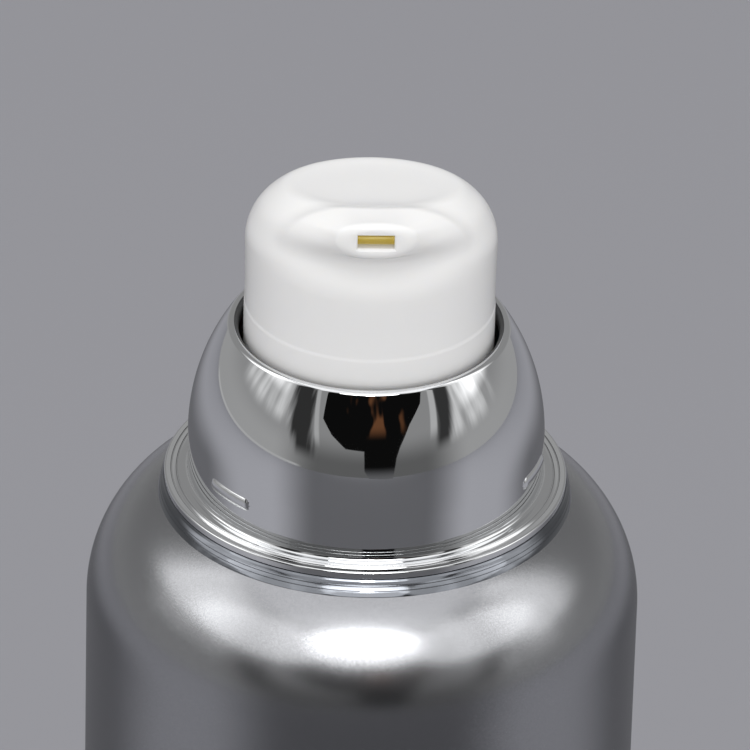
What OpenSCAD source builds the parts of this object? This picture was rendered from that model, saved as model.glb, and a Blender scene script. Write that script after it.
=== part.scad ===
// Airless pump bottle: a double-walled bottle with a metallised collar, a press button
// with a slot nozzle, an atmospheric pump and a follower piston that lifts the contents.
// The frame stands on the foot's underside: +Z is up, and the nozzle points to -Y.

/* [Bottle] */
// Outer diameter of the silver outer shell
body_d = 40; // [38:0.5:44]
// Height of the collar's seat edge above the table
body_h = 92; // [80:1:110]
// Wall of the outer shell
shell_wall = 1.8; // [1.4:0.1:2.2]
// Radius of the round shoulder
shoulder_r = 10; // [9:0.5:10.5]
// Wall of the inner bottle
inner_wall = 1.1; // [0.9:0.1:1.4]
// Air gap between the outer shell and the inner bottle
jacket_gap = 0.8; // [0.5:0.1:1.2]
// Height of the inner bottle's lower rim above the table
inner_foot_z = 7; // [6:0.5:9]
// How far the raised land under the collar stands out of the flange at its foot, on the radius
land_out = 0.4; // [0.2:0.05:0.7]
// Height of the raised land under the collar
land_h = 1.25; // [1:0.05:1.5]
// How much the land draws in towards its top, on the radius
land_draft = 0.3; // [0.1:0.05:0.4]

/* [Foot] */
// Height of the foot's visible rim below the shell
foot_h = 0.8; // [0.6:0.1:1.2]
// How far the foot's rim stands in from the shell, on the radius
foot_reveal = 0.6; // [0.3:0.1:1]
// Thickness of the foot's floor
foot_floor = 1.6; // [1.2:0.1:2.2]
// Length of the foot's plug inside the shell
foot_plug_h = 3.4; // [2.8:0.2:4.4]
// Diameter of the air hole that lets the follower rise
vent_d = 2; // [1:0.5:3]
// Depth of the hollow under the foot
foot_hollow_h = 0.7; // [0.4:0.1:1]
// Width of the ring that the foot stands on
foot_ring_w = 2.6; // [2:0.2:4]
// Height that the foot's snap bead stands out
foot_bead = 0.25; // [0.15:0.05:0.3]
// Distance of the foot's snap bead below the plug's end
foot_bead_drop = 1; // [0.6:0.1:1.4]
// How far the ring under the inner bottle is wider than its wall
foot_lip = 0.5; // [0.3:0.1:0.8]

/* [Neck] */
// Wall of the lock ring between the collar and the neck
ring_wall = 1.48; // [1.3:0.02:1.6]
// Wall of the neck
neck_wall = 1.2; // [1:0.1:1.5]
// Height of the neck's rim above the collar's seat edge
neck_h = 4.4; // [4:0.1:4.6]
// Thickness of the neck gasket
gasket_t = 0.8; // [0.6:0.1:1]
// Height that the snap bead stands out of the neck
bead_h = 0.35; // [0.2:0.05:0.4]

/* [Collar] */
// Diameter of the collar's straight foot, where an overcap seats
collar_d = 25.64; // [25.2:0.02:26]
// How far the flange stands out of the collar's straight foot, on the radius
flange_out = 1.68; // [1.4:0.02:1.9]
// Thickness of the flange at its rim
flange_t = 0.55; // [0.4:0.05:0.7]
// Height of the collar's lip above its seat edge
collar_h = 13.95; // [13.6:0.05:14.4]
// Height at which the straight foot turns into the dome
dome_start = 5; // [4.8:0.1:5.4]
// Wall of the collar
collar_wall = 1.1; // [0.9:0.1:1.2]
// Round of the lip
lip_r = 0.45; // [0.3:0.05:0.5]
// Hollow round between the flange and the straight foot
ledge_fillet = 0.5; // [0.3:0.05:0.6]
// Round of the flange's upper rim
ledge_round = 0.2; // [0.1:0.05:0.25]
// Number of snap nubs that hold an overcap
nub_count = 3; // [2:1:4]
// Height of the nubs' middle above the collar's seat edge
nub_z = 4.3; // [3.7:0.1:4.4]
// How far the nubs stand out of the collar
nub_out = 0.2; // [0.15:0.01:0.22]
// Height of one nub
nub_tall = 1; // [0.8:0.1:1.2]
// Length of one nub, as an angle round the collar
nub_span = 19; // [14:1:24]
// Place of the first nub, as an angle from the nozzle towards +X
nub_place = 69; // [0:1:119]

/* [Button] */
// Diameter of the button
button_d = 17.96; // [17.6:0.02:18.2]
// Clearance between the button and the collar's mouth, on the radius
mouth_gap = 0.35; // [0.3:0.05:0.5]
// Height of the slanted top on the button's axis, above the collar's seat edge
button_top = 25.6; // [25.2:0.1:26.2]
// Slant of the top, higher at the nozzle
top_tilt = 11; // [8:0.5:13]
// Round between the button's side and its top
edge_r = 4.7; // [3.8:0.1:5.2]
// Depth of the finger dish below the slanted top
dish_depth = 0.5; // [0.3:0.05:0.6]
// Radius of the finger dish, measured towards the nozzle
dish_r = 6.6; // [6:0.1:7]
// How much wider the finger dish is across
dish_wide = 1.2; // [1:0.05:1.3]
// How far the finger dish's middle lies behind the button's axis
dish_back = 0.4; // [0:0.1:0.8]
// How flat the finger dish's floor is: 2 is a bowl, more is flatter with a steeper edge
dish_flat = 5; // [3:0.5:6]
// Softness of the finger dish's edge
dish_edge = 0.2; // [0.15:0.05:0.4]
// Wall of the button's skirt
skirt_wall = 1.1; // [0.9:0.1:1.3]
// Wall between the button's side and its attic
attic_wall = 3; // [2.8:0.1:3.4]
// How far the attic's roof lies below the slanted top, on the axis
roof_drop = 1.7; // [1.5:0.05:1.8]
// Radius of the ball that the attic's roof follows
roof_r = 41; // [38:1:60]
// Height of the core's disc above the collar's seat edge
disc_h = 18.5; // [18:0.1:19]
// Thickness of the core's disc
disc_t = 1.2; // [1:0.1:1.5]

/* [Nozzle] */
// Width of the outlet slot
slot_w = 2.6; // [2:0.1:3]
// Height of the outlet slot
slot_h = 1.04; // [0.8:0.02:1.2]
// Height of the slot's middle above the collar's seat edge
slot_z = 25.65; // [25.5:0.05:25.8]
// Width of the nozzle's oval face
brow_w = 4.9; // [4.4:0.1:5.4]
// Height of the nozzle's oval face
brow_h = 2.4; // [2.2:0.1:2.8]
// Distance of the nozzle's face from the button's axis
brow_reach = 9.2; // [9:0.05:9.5]
// How far the oval face's middle lies above the slot's middle
brow_rise = 0.15; // [0:0.05:0.2]
// How fast the brow widens inwards from its face, on each side
brow_flare = 1; // [0.5:0.1:1.4]
// Distance over which the brow's widening slows down
brow_flare_len = 3; // [2:0.5:5]
// How square the oval face is: 2 is an ellipse
brow_square = 2.4; // [2:0.1:3]
// Round of the oval face's edge, halfway up
brow_edge = 0.4; // [0.3:0.02:0.5]
// How much rounder the oval face's upper edge is, and its lower edge sharper
brow_edge_up = 0.25; // [0.1:0.05:0.25]
// How far the brow reaches back into the button
brow_depth = 3.5; // [3:0.25:4]
// Soft blend between the nozzle's brow and the button
brow_blend = 1.6; // [1:0.1:1.8]
// Width of the shallow scoop under the nozzle
scoop_w = 10.4; // [9.6:0.2:11.2]
// Height of the scoop
scoop_h = 2.5; // [2:0.1:2.8]
// Depth of the scoop
scoop_depth = 0.65; // [0.4:0.05:0.8]
// How far the scoop's middle lies below the slot's middle
scoop_drop = 2.15; // [2:0.05:2.4]
// Softness of the scoop's edge
scoop_edge = 0.5; // [0.3:0.1:0.8]
// Slant of the nozzle insert, lower at its inner end
insert_tilt = 12; // [10:0.5:14]
// Wall of the nozzle insert round the slot
insert_wall = 0.3; // [0.25:0.05:0.35]
// Depth of the nozzle insert's front behind the oval face
insert_front = 0.8; // [0.6:0.1:1]
// Depth of the outlet pocket in the nozzle insert
pocket_len = 1.1; // [0.8:0.1:1.4]
// Height of the duct behind the outlet pocket
duct_h = 0.7; // [0.5:0.05:0.8]
// Wall of the duct in the core
duct_wall = 0.6; // [0.5:0.05:0.8]

/* [Pump] */
// Travel of the button
stroke = 4.5; // [3.5:0.1:4.5]
// Bore of the pump's barrel
barrel_bore = 9; // [8.6:0.1:9.4]
// Wall of the pump's barrel
barrel_wall = 0.8; // [0.7:0.1:1]
// Diameter of the stem
stem_d = 5; // [4.8:0.1:5.2]
// Bore of the stem
stem_bore = 3; // [2.6:0.1:3.2]
// Thickness of the housing's flange
housing_flange_t = 1.2; // [1:0.1:1.3]
// Thickness of the lock ring's web over the housing's flange
ring_web_t = 0.8; // [0.6:0.1:1]
// Diameter of the hole in the lock ring's web
ring_hole_d = 16.6; // [16:0.2:17]
// Length of the chaplet's plug in the barrel
plug_len = 2.9; // [2.5:0.1:3.3]
// Height of the chaplet's guide above the lock ring
guide_h = 1.3; // [1:0.1:1.5]
// Wall of the chaplet's guide and of the core's socket round the stem
guide_wall = 0.9; // [0.7:0.1:0.9]
// Depth of the stem's seat in the core's disc
socket_depth = 0.6; // [0.4:0.1:0.8]
// Height of the pump piston
seal_h = 4.6; // [4:0.1:5]
// Lost motion of the pump piston on its rod
seal_play = 0.5; // [0.3:0.1:0.7]
// Length of the rod's shank inside the stem
shank_len = 6; // [4:0.5:8]
// How far the pump piston's hub stops below its upper lip
seal_hub_drop = 0.8; // [0.6:0.1:1]
// Diameter of the valve head on the piston rod
head_d = 6.6; // [6.2:0.1:6.8]
// Thickness of the valve head
head_t = 1.2; // [0.9:0.1:1.4]
// Thickness of the ball cage's web
cage_web_t = 0.8; // [0.6:0.1:1]
// Diameter of the inlet ball
ball_d = 3; // [2.6:0.1:3.2]
// Diameter of the inlet hole under the ball
seat_hole_d = 2.2; // [1.8:0.1:2.3]
// Depth of the ball's pocket in the barrel's floor
seat_depth = 1; // [0.8:0.1:1.2]
// Thickness of the wall under the ball
seat_wall = 0.8; // [0.6:0.1:1]
// Length of the inlet spigot
inlet_h = 0.7; // [0.5:0.1:1]
// Diameter of the inlet spigot
inlet_d = 4.8; // [4.2:0.1:5.4]
// Lift of the inlet ball
ball_lift = 0.8; // [0.5:0.1:1]
// Wire diameter of the return spring
wire_d = 0.8; // [0.6:0.05:0.8]
// Number of curls in the return spring
spring_curls = 5; // [4:1:6]
// Outer diameter of the return spring
spring_d = 9.4; // [9:0.1:10]

/* [Follower] */
// Thickness of the follower's floor under its well
well_floor_t = 1.9; // [1.2:0.1:3]
// Clearance round the pump's barrel in the follower's well
well_gap = 0.6; // [0.4:0.1:1]
// Wall of the follower piston
follower_wall = 1; // [0.8:0.1:1.2]
// Height of each sealing lip
lip_h = 1.6; // [1.2:0.1:2]
// How deep the follower is waisted between its lips
waist_depth = 0.6; // [0.4:0.1:0.8]

/* [Fits] */
// Clearance of a sliding or turning fit, on the radius
run_gap = 0.05; // [0.03:0.01:0.08]
// Clearance between pieces that are pressed together, on the radius
press_gap = 0.02; // [0.01:0.01:0.04]
// Gap between a moving piece and what it stops near
stop_gap = 0.3; // [0.2:0.05:0.3]
// Gap between pieces that rest on each other
rest_gap = 0.05; // [0.03:0.01:0.06]

/* [Hidden] */
$fn = 96;

// A hair of overlap so that cuts pass clean through a face
cut = 0.01;

// Radii of the bottle
body_r = body_d / 2;
shell_in_r = body_r - shell_wall;
inner_r = shell_in_r - jacket_gap;
chamber_r = inner_r - inner_wall;

// Radii of the collar, of the land under its flange, and of the neck that its ring grips
collar_r = collar_d / 2;
collar_in_r = collar_r - collar_wall;
flange_r = collar_r + flange_out;
land_r = flange_r + land_out;
ring_r = collar_in_r - press_gap;
neck_r = ring_r - ring_wall - press_gap;
neck_bore_r = neck_r - neck_wall;

// The shoulder's arc starts at the shell's side and meets the land's foot
arc_r = body_r - shoulder_r;
arc_z = body_h - sqrt(pow(shoulder_r, 2) - pow(land_r - arc_r, 2));
inner_top_z = arc_z + inner_r - arc_r;
chamber_top_z = inner_top_z - inner_wall;

// Neck, gasket and housing flange are stacked on the inner bottle
neck_top_z = body_h + neck_h;
flange_z = neck_top_z + gasket_t;
flange_top_z = flange_z + housing_flange_t;
bead_z = body_h + neck_h / 2;

// Collar
land_top_z = body_h + land_h;
ledge_z = land_top_z + flange_t;
button_r = button_d / 2;
mouth_r = button_r + mouth_gap;
lip_z = body_h + collar_h - lip_r;
dome_z = body_h + dome_start;
// The dome's arc leaves the straight foot upright and runs into the lip's round
lip_in = mouth_r + lip_r - collar_r;
lip_up = lip_z - dome_z;
dome_r = (pow(lip_in, 2) + pow(lip_up, 2) - pow(lip_r, 2)) / (-2 * (lip_in + lip_r));
dome_in_r = dome_r - collar_wall;
// Height above the lip's centre at which its round touches the dome's arc
lip_touch = lip_r * lip_up / (dome_r - lip_r);

// Lock ring between the collar and the neck
ring_bore_r = neck_r + press_gap;
ring_top_z = flange_top_z + ring_web_t;
ring_foot_z = inner_top_z + stop_gap;
ring_hole_r = ring_hole_d / 2;
// Above the collar's straight foot the ring keeps inside the dome
ring_upper_r = collar_r - dome_r + sqrt(pow(dome_in_r, 2) - pow(ring_top_z - dome_z, 2)) - press_gap;
shell_hole_r = ring_r + stop_gap;

// Pump
bore_r = barrel_bore / 2;
barrel_r = bore_r + barrel_wall;
stem_r = stem_d / 2;
stem_bore_r = stem_bore / 2;
plug_z = flange_top_z - plug_len;
guide_top_z = ring_top_z + guide_h;
guide_r = stem_r + guide_wall;
socket_r = stem_r + press_gap;
seal_top_z = plug_z - seal_play - stop_gap;
seal_z = seal_top_z - seal_h;
stem_foot_z = seal_top_z - seal_hub_drop + seal_play + rest_gap;
head_top_z = seal_z - rest_gap;
head_z = head_top_z - head_t;
cage_top_z = head_z - stroke - stop_gap;
cage_web_z = cage_top_z - cage_web_t;
ball_r = ball_d / 2;
seat_hole_r = seat_hole_d / 2;
// The ball rests in its hole, and its lift ends a hair under the cage's web
ball_sit = sqrt(pow(ball_r, 2) - pow(seat_hole_r, 2)) + rest_gap;
ball_z = cage_web_z - rest_gap - ball_lift - ball_r;
seat_z = ball_z - ball_sit;
barrel_floor_z = seat_z + seat_depth;
housing_foot_z = seat_z - seat_wall;
inlet_z = housing_foot_z - inlet_h;

// Button and its core
core_disc_z = body_h + disc_h;
core_top_z = core_disc_z + disc_t;
core_disc_r = button_r - skirt_wall - press_gap;
hub_z = guide_top_z + stroke + stop_gap;
stem_top_z = core_disc_z + socket_depth;
top_z = body_h + button_top;
nozzle_z = body_h + slot_z;
skirt_foot_z = ring_top_z + stroke + stop_gap;
attic_r = button_r - attic_wall;
roof_up = roof_r - roof_drop;
roof_ball_pos = [0, sin(top_tilt) * roof_up, top_z + cos(top_tilt) * roof_up];
scoop_z = nozzle_z - scoop_drop;
insert_h = slot_h + 2 * insert_wall;
insert_w = slot_w + 2 * insert_wall;
insert_y = brow_reach - insert_front;
insert_run = insert_y - attic_r;
post_w = slot_w + 2 * duct_wall;
post_t = duct_h + 2 * duct_wall;
post_r = attic_r - press_gap;
// How far cutting bodies run past what they cut
over = 1;
over_top_z = top_z + 2 * over;

// Return spring stands on the chaplet round its guide, under the core's disc
spring_z = ring_top_z + wire_d / 2 + rest_gap;
spring_top_z = core_disc_z - wire_d / 2 - rest_gap;
spring_mean_r = (spring_d - wire_d) / 2;
spring_rise = spring_top_z - spring_z;

// Follower: its crown is a stop gap smaller than the chamber's shoulder
follower_r = chamber_r - run_gap;
follower_z = inner_foot_z + stop_gap;
crown_r = chamber_r - stop_gap;
waist_r = follower_r - waist_depth;
well_r = barrel_r + well_gap;
well_depth = chamber_top_z - inlet_z + stop_gap;
follower_top_z = follower_z + well_depth + well_floor_t;
crown_z = follower_top_z - (crown_r - arc_r);
// Travel of the follower, from the foot to a stop gap under the chamber's top
follower_travel = chamber_top_z - stop_gap - follower_top_z;

// Foot
foot_r = body_r - foot_reveal;
foot_plug_r = shell_in_r - press_gap;
foot_top_z = foot_h + foot_plug_h;
foot_bead_z = foot_top_z - foot_bead_drop;
foot_ring_r = inner_r - inner_wall - foot_lip;

// Shapes that several pieces share

// A ring or disc whose walls are upright
module tube(r_out, r_in, z0, z1) {
    translate([0, 0, z0])
        difference() {
            cylinder(r = r_out, h = z1 - z0);
            translate([0, 0, -cut])
                cylinder(r = r_in, h = z1 - z0 + 2 * cut);
        }
}

// A half-round bead round a wall of radius r, at height z, standing h proud
module bead(r, z, h) {
    translate([0, 0, z])
        rotate_extrude()
            translate([r, 0])
                circle(r = h, $fn = 32);
}

// Solid of radius side_r from foot_z up, with a round shoulder about the height round_z
module shouldered(side_r, foot_z, round_z, top_z) {
    rotate_extrude() {
        translate([0, foot_z])
            square([side_r, round_z - foot_z]);
        intersection() {
            translate([arc_r, round_z])
                circle(r = side_r - arc_r);
            translate([arc_r, round_z])
                square([side_r - arc_r + over, top_z - round_z]);
        }
        translate([0, round_z - cut])
            square([arc_r + cut, top_z - round_z + cut]);
    }
}

// Outer shell: tube, round shoulder and the land that carries the collar
module outer_shell() {
    color([0.66, 0.67, 0.69])
        difference() {
            union() {
                shouldered(body_r, foot_h, arc_z, body_h);
                translate([0, 0, body_h - cut])
                    cylinder(r1 = land_r, r2 = land_r - land_draft, h = land_h + cut);
            }
            shouldered(shell_in_r, foot_h - cut, arc_z, inner_top_z);
            cylinder_between(shell_hole_r, arc_z, land_top_z + cut);
            bead(shell_in_r, foot_bead_z, foot_bead + press_gap);
        }
}

module inner_bottle() {
    color([0.93, 0.94, 0.94])
        difference() {
            union() {
                shouldered(inner_r, inner_foot_z, arc_z, inner_top_z);
                cylinder_between(neck_r, arc_z, neck_top_z);
                bead(neck_r, bead_z, bead_h);
            }
            shouldered(chamber_r, inner_foot_z - cut, arc_z, chamber_top_z);
            cylinder_between(neck_bore_r, arc_z, neck_top_z + cut);
        }
}

module cylinder_between(r, z0, z1) {
    translate([0, 0, z0])
        cylinder(r = r, h = z1 - z0);
}

// Foot: visible rim, plug with a snap bead, and the ring that carries the inner bottle
module base_plate() {
    color([0.62, 0.63, 0.65])
        difference() {
            union() {
                cylinder_between(foot_r, 0, foot_h);
                cylinder_between(foot_plug_r, foot_h - cut, foot_top_z);
                tube(inner_r, foot_ring_r, foot_top_z - cut, inner_foot_z);
                bead(foot_plug_r, foot_bead_z, foot_bead);
            }
            cylinder_between(foot_ring_r, foot_h + foot_floor, inner_foot_z);
            cylinder_between(foot_plug_r - foot_ring_w, -cut, foot_hollow_h);
            cylinder_between(vent_d / 2, -cut, foot_h + foot_floor + cut);
        }
}

// Follower: two sealing lips, a waist, a crown that follows the chamber's shoulder, and a
// well that the pump's barrel enters at the end of the travel
module follower_piston() {
    waist_in_r = waist_r - follower_wall;
    inside_top_z = crown_z + waist_in_r - arc_r;
    color([0.9, 0.91, 0.93])
        difference() {
            union() {
                cylinder_between(waist_r, follower_z, crown_z + cut);
                cylinder_between(follower_r, follower_z, follower_z + lip_h);
                cylinder_between(follower_r, crown_z - lip_h, crown_z);
                shouldered(crown_r, crown_z - lip_h, crown_z, follower_top_z);
            }
            cylinder_between(well_r, follower_top_z - well_depth, follower_top_z + cut);
            difference() {
                shouldered(waist_in_r, follower_z - cut, crown_z, inside_top_z);
                cylinder_between(well_r + follower_wall, follower_top_z - well_depth - follower_wall,
                                 follower_top_z);
            }
        }
}

// Collar: flange on the land, straight foot for the cap, dome and round lip
module collar() {
    color([0.78, 0.79, 0.8])
        difference() {
            union() {
                rotate_extrude()
                    collar_outline();
                for (i = [0 : nub_count - 1])
                    rotate([0, 0, nub_place - 90 + i * 360 / nub_count])
                        nub();
            }
            rotate_extrude()
                collar_hollow();
        }
}

module collar_outline() {
    // flange with a rounded rim
    translate([0, land_top_z])
        square([flange_r - ledge_round, flange_t]);
    translate([0, land_top_z])
        square([flange_r, flange_t - ledge_round]);
    translate([flange_r - ledge_round, ledge_z - ledge_round])
        circle(r = ledge_round);
    // fillet from the flange into the straight foot
    difference() {
        translate([0, ledge_z - cut])
            square([collar_r + ledge_fillet, ledge_fillet + cut]);
        translate([collar_r + ledge_fillet, ledge_z + ledge_fillet])
            circle(r = ledge_fillet);
    }
    translate([0, ledge_z])
        square([collar_r, dome_z - ledge_z]);
    intersection() {
        translate([collar_r - dome_r, dome_z])
            circle(r = dome_r);
        translate([mouth_r + lip_r, dome_z - cut])
            square([collar_r - mouth_r - lip_r, lip_up + lip_touch + cut]);
    }
    // full-round lip, and the straight bore of the mouth below it
    translate([mouth_r + lip_r, lip_z])
        circle(r = lip_r);
    translate([mouth_r, dome_z - cut])
        square([lip_r + cut, lip_up + cut]);
}

module collar_hollow() {
    intersection() {
        translate([collar_r - dome_r, dome_z])
            circle(r = dome_in_r);
        translate([0, dome_z - cut])
            square([collar_in_r, dome_in_r + cut]);
    }
    translate([0, land_top_z - cut])
        square([collar_in_r, dome_z - land_top_z + cut]);
}

// One snap nub: a low bar that follows the collar's foot
module nub() {
    bar_r = (pow(nub_tall / 2, 2) + pow(nub_out, 2)) / (2 * nub_out);
    rotate([0, 0, -nub_span / 2])
        translate([0, 0, body_h + nub_z])
            rotate_extrude(angle = nub_span)
                translate([collar_r + nub_out - bar_r, 0])
                    circle(r = bar_r);
}

// Lock ring: grips the neck's bead and holds the pump's flange down
module lock_ring() {
    color([0.88, 0.89, 0.9])
        difference() {
            union() {
                cylinder_between(ring_r, ring_foot_z, dome_z);
                cylinder_between(ring_upper_r, dome_z - cut, ring_top_z);
            }
            cylinder_between(ring_bore_r, ring_foot_z - cut, flange_top_z);
            cylinder_between(ring_hole_r, flange_top_z - cut, ring_top_z + cut);
            bead(neck_r, bead_z, bead_h + press_gap);
        }
}

module neck_gasket() {
    color([0.85, 0.86, 0.88])
        tube(neck_r, neck_bore_r, neck_top_z, flange_z);
}

// Pump housing: flange, plug in the neck, barrel, valve seat and inlet
module pump_housing() {
    neck_plug_r = neck_bore_r - press_gap;
    neck_plug_len = 1.6;
    ball_side_gap = 0.25;
    color([0.95, 0.95, 0.95])
        difference() {
            union() {
                cylinder_between(neck_r, flange_z, flange_top_z);
                tube(neck_plug_r, neck_plug_r - barrel_wall, neck_top_z - neck_plug_len, flange_z + cut);
                cylinder_between(barrel_r, housing_foot_z, flange_z + cut);
                cylinder_between(inlet_d / 2, inlet_z, housing_foot_z + cut);
            }
            cylinder_between(bore_r, barrel_floor_z, flange_top_z + cut);
            cylinder_between(ball_r + ball_side_gap, seat_z, barrel_floor_z + cut);
            cylinder_between(seat_hole_r, inlet_z - cut, seat_z + cut);
        }
}

// Chaplet: closes the barrel, guides the stem and carries the spring
module chaplet() {
    chaplet_flange_r = ring_hole_r - stop_gap;
    color([0.9, 0.91, 0.92])
        difference() {
            union() {
                cylinder_between(chaplet_flange_r, flange_top_z, ring_top_z);
                cylinder_between(bore_r - press_gap, plug_z, flange_top_z + cut);
                cylinder_between(guide_r, ring_top_z - cut, guide_top_z);
            }
            cylinder_between(stem_r + run_gap, plug_z - cut, guide_top_z + cut);
        }
}

// Ball cage: legs and a pierced web that stop the inlet ball's lift
module ball_cage() {
    cage_r = bore_r - press_gap;
    cage_bore_r = ball_r + 0.5;
    window_w = 1.4;
    web_hole_d = 1.2;
    color([0.9, 0.9, 0.88])
        difference() {
            cylinder_between(cage_r, barrel_floor_z, cage_top_z);
            cylinder_between(cage_bore_r, barrel_floor_z - cut, cage_web_z);
            for (a = [0, 90])
                rotate([0, 0, a])
                    translate([-cage_r - over, -window_w / 2, barrel_floor_z - cut])
                        cube([2 * (cage_r + over), window_w, cage_web_z - barrel_floor_z]);
            for (a = [45 : 90 : 315])
                rotate([0, 0, a])
                    translate([ball_r, 0, cage_web_z - cut])
                        cylinder(d = web_hole_d, h = cage_web_t + 2 * cut);
        }
}

module inlet_ball() {
    color([0.8, 0.82, 0.84])
        translate([0, 0, ball_z])
            sphere(d = ball_d);
}

// Stem: a tube from the button's core down to the pump piston, notched at its foot
module stem() {
    notch_w = 1;
    notch_h = 0.8;
    color([0.96, 0.96, 0.96])
        difference() {
            tube(stem_r, stem_bore_r, stem_foot_z, stem_top_z);
            for (a = [0, 90])
                rotate([0, 0, a])
                    translate([-stem_r - over, -notch_w / 2, stem_foot_z - cut])
                        cube([stem_d + 2 * over, notch_w, notch_h + cut]);
        }
}

// Piston rod: fluted shank pressed into the stem, with the valve head below
module piston_rod() {
    shank_r = stem_bore_r - press_gap;
    shank_top_z = stem_foot_z + shank_len;
    flute_r = 0.55;
    flute_rise = 0.4;
    color([0.94, 0.94, 0.93])
        difference() {
            union() {
                cylinder_between(shank_r, head_top_z - cut, shank_top_z);
                cylinder_between(head_d / 2, head_z, head_top_z);
            }
            for (a = [45 : 90 : 315])
                rotate([0, 0, a])
                    translate([shank_r, 0, head_top_z + flute_rise])
                        cylinder(r = flute_r, h = shank_top_z - head_top_z, $fn = 24);
        }
}

// Pump piston: hub on the rod, web, and a sleeve with two wiping lips
module pump_piston() {
    seal_r = bore_r - run_gap;
    wipe_out = 0.3;
    wipe_h = 0.9;
    sleeve_waist_r = seal_r - wipe_out;
    sleeve_wall = 0.6;
    hub_bore_r = stem_bore_r + run_gap;
    hub_wall = 0.8;
    web_rise = 1.6;
    web_z = seal_z + web_rise;
    web_t = 0.9;
    hub_top_z = seal_top_z - seal_hub_drop;
    color([0.86, 0.88, 0.9])
        difference() {
            union() {
                difference() {
                    union() {
                        cylinder_between(sleeve_waist_r, seal_z, seal_top_z);
                        cylinder_between(seal_r, seal_z, seal_z + wipe_h);
                        cylinder_between(seal_r, seal_top_z - wipe_h, seal_top_z);
                    }
                    cylinder_between(sleeve_waist_r - sleeve_wall, seal_z - cut, web_z);
                    cylinder_between(sleeve_waist_r - sleeve_wall, web_z + web_t, seal_top_z + cut);
                }
                cylinder_between(hub_bore_r + hub_wall, seal_z, hub_top_z);
            }
            cylinder_between(hub_bore_r, seal_z - cut, seal_top_z + cut);
        }
}

// Return spring: one unbroken wire, with closed flat ends
curl_rings = 8;
wire_sides = 6;
spring_steps = spring_curls * curl_rings;
// The end curls lie flatter than the middle ones, by this share of the rise
end_flat = 0.055;
function spring_lift(t) = t - end_flat * sin(360 * t);
function spring_centre(i) =
    let (t = i / spring_steps)
    [spring_mean_r * cos(360 * i / curl_rings),
     spring_mean_r * sin(360 * i / curl_rings),
     spring_z + spring_rise * spring_lift(t)];
function spring_ring(i) =
    let (c = spring_centre(i), a = 360 * i / curl_rings)
    [for (k = [0 : wire_sides - 1])
        let (w = 360 * k / wire_sides)
        c + wire_d / 2 * [cos(a) * cos(w), sin(a) * cos(w), sin(w)]];

// Least gap between one curl and the next, measured on the wire's centre points
function curl_gap() =
    min([for (i = [0 : spring_steps - curl_rings])
        norm(spring_centre(i + curl_rings) - spring_centre(i)) - wire_d]);

module return_spring() {
    points = [for (i = [0 : spring_steps]) each spring_ring(i)];
    last = spring_steps * wire_sides;
    faces = concat(
        [[for (k = [0 : wire_sides - 1]) k]],
        [[for (k = [wire_sides - 1 : -1 : 0]) last + k]],
        [for (i = [0 : spring_steps - 1])
            for (k = [0 : wire_sides - 1])
                let (a = i * wire_sides + k,
                     b = i * wire_sides + (k + 1) % wire_sides)
                each [[a, a + wire_sides, b], [b, a + wire_sides, b + wire_sides]]]);
    echo(least_gap_of_the_spring_to_itself = curl_gap());
    echo(travel_of_the_follower = follower_travel);
    color([0.7, 0.71, 0.72])
        polyhedron(points = points, faces = faces);
}

// Button: the outer form is where a few simple distances, blended softly, come to nought

// Distance outside the upright side
function side_gap(p) = norm([p.x, p.y]) - button_r;
// Distance above the slanted top
function top_gap(p) = (p.z - top_z) * cos(top_tilt) + p.y * sin(top_tilt);
// Distance above the finger dish, a flat-floored oval sunk in the slanted top
function dish_gap(p) =
    let (along = p.y * cos(top_tilt) - (p.z - top_z) * sin(top_tilt) - dish_back,
         reach = norm([p.x / dish_wide, along]) / dish_r)
    top_gap(p) + dish_depth * (1 - pow(reach, dish_flat));
// Two forms cut to what they share, with a round edge of radius r
function round_meet(a, b, r) = min(-r, max(a, b)) + norm([max(r + a, 0), max(r + b, 0)]);
function soft_max(a, b, k) = max(a, b) + pow(max(k - abs(a - b), 0), 2) / (4 * k);
function soft_min(a, b, k) = -soft_max(-a, -b, k);
// The nozzle's brow: an oval that widens inwards, parallel to the slanted top
function brow_gap(p) =
    let (inward = brow_reach + p.y,
         deep = max(inward, 0),
         lift = p.z - nozzle_z - brow_rise + inward * tan(top_tilt),
         half_w = brow_w / 2 + brow_flare * deep / (1 + deep / brow_flare_len),
         half_h = brow_h / 2,
         across = pow(abs(p.x) / half_w, brow_square) + pow(abs(lift) / half_h, brow_square),
         oval = (pow(across, 1 / brow_square) - 1) * half_h,
         high = min(max(lift / half_h, -1), 1),
         edge = brow_edge + brow_edge_up * high)
    round_meet(oval, max(-inward, inward - brow_depth), edge);
// Distance outside the shallow scoop that the wall has under the nozzle
function scoop_gap(p) =
    p.y > 0 ? button_d :
    let (depth = (norm([p.x, p.y]) - button_r) / scoop_depth,
         high = 2 * (p.z - scoop_z) / scoop_h)
    (norm([2 * p.x / scoop_w, depth, high]) - 1) * scoop_depth;
// Distance outside the block: side and top with a round edge, less the scoop
function block_gap(p) =
    soft_max(round_meet(side_gap(p), top_gap(p), edge_r), -scoop_gap(p), scoop_edge);
// Distance outside the whole button
function button_gap(p) =
    soft_max(soft_min(block_gap(p), brow_gap(p), brow_blend), dish_gap(p), dish_edge);

// Reach of the form from a point on the axis along the direction d, found by halving
ray_z = core_disc_z;
function reach(d, low, high, steps) =
    steps == 0 ? (low + high) / 2 :
    let (mid = (low + high) / 2)
    button_gap([0, 0, ray_z] + mid * d) > 0 ?
        reach(d, low, mid, steps - 1) : reach(d, mid, high, steps - 1);

ring_count = 32;
ring_points = 80;
halvings = 14;
ray_low = button_r / 2;
ray_high = 1.6 * button_r;
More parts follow.
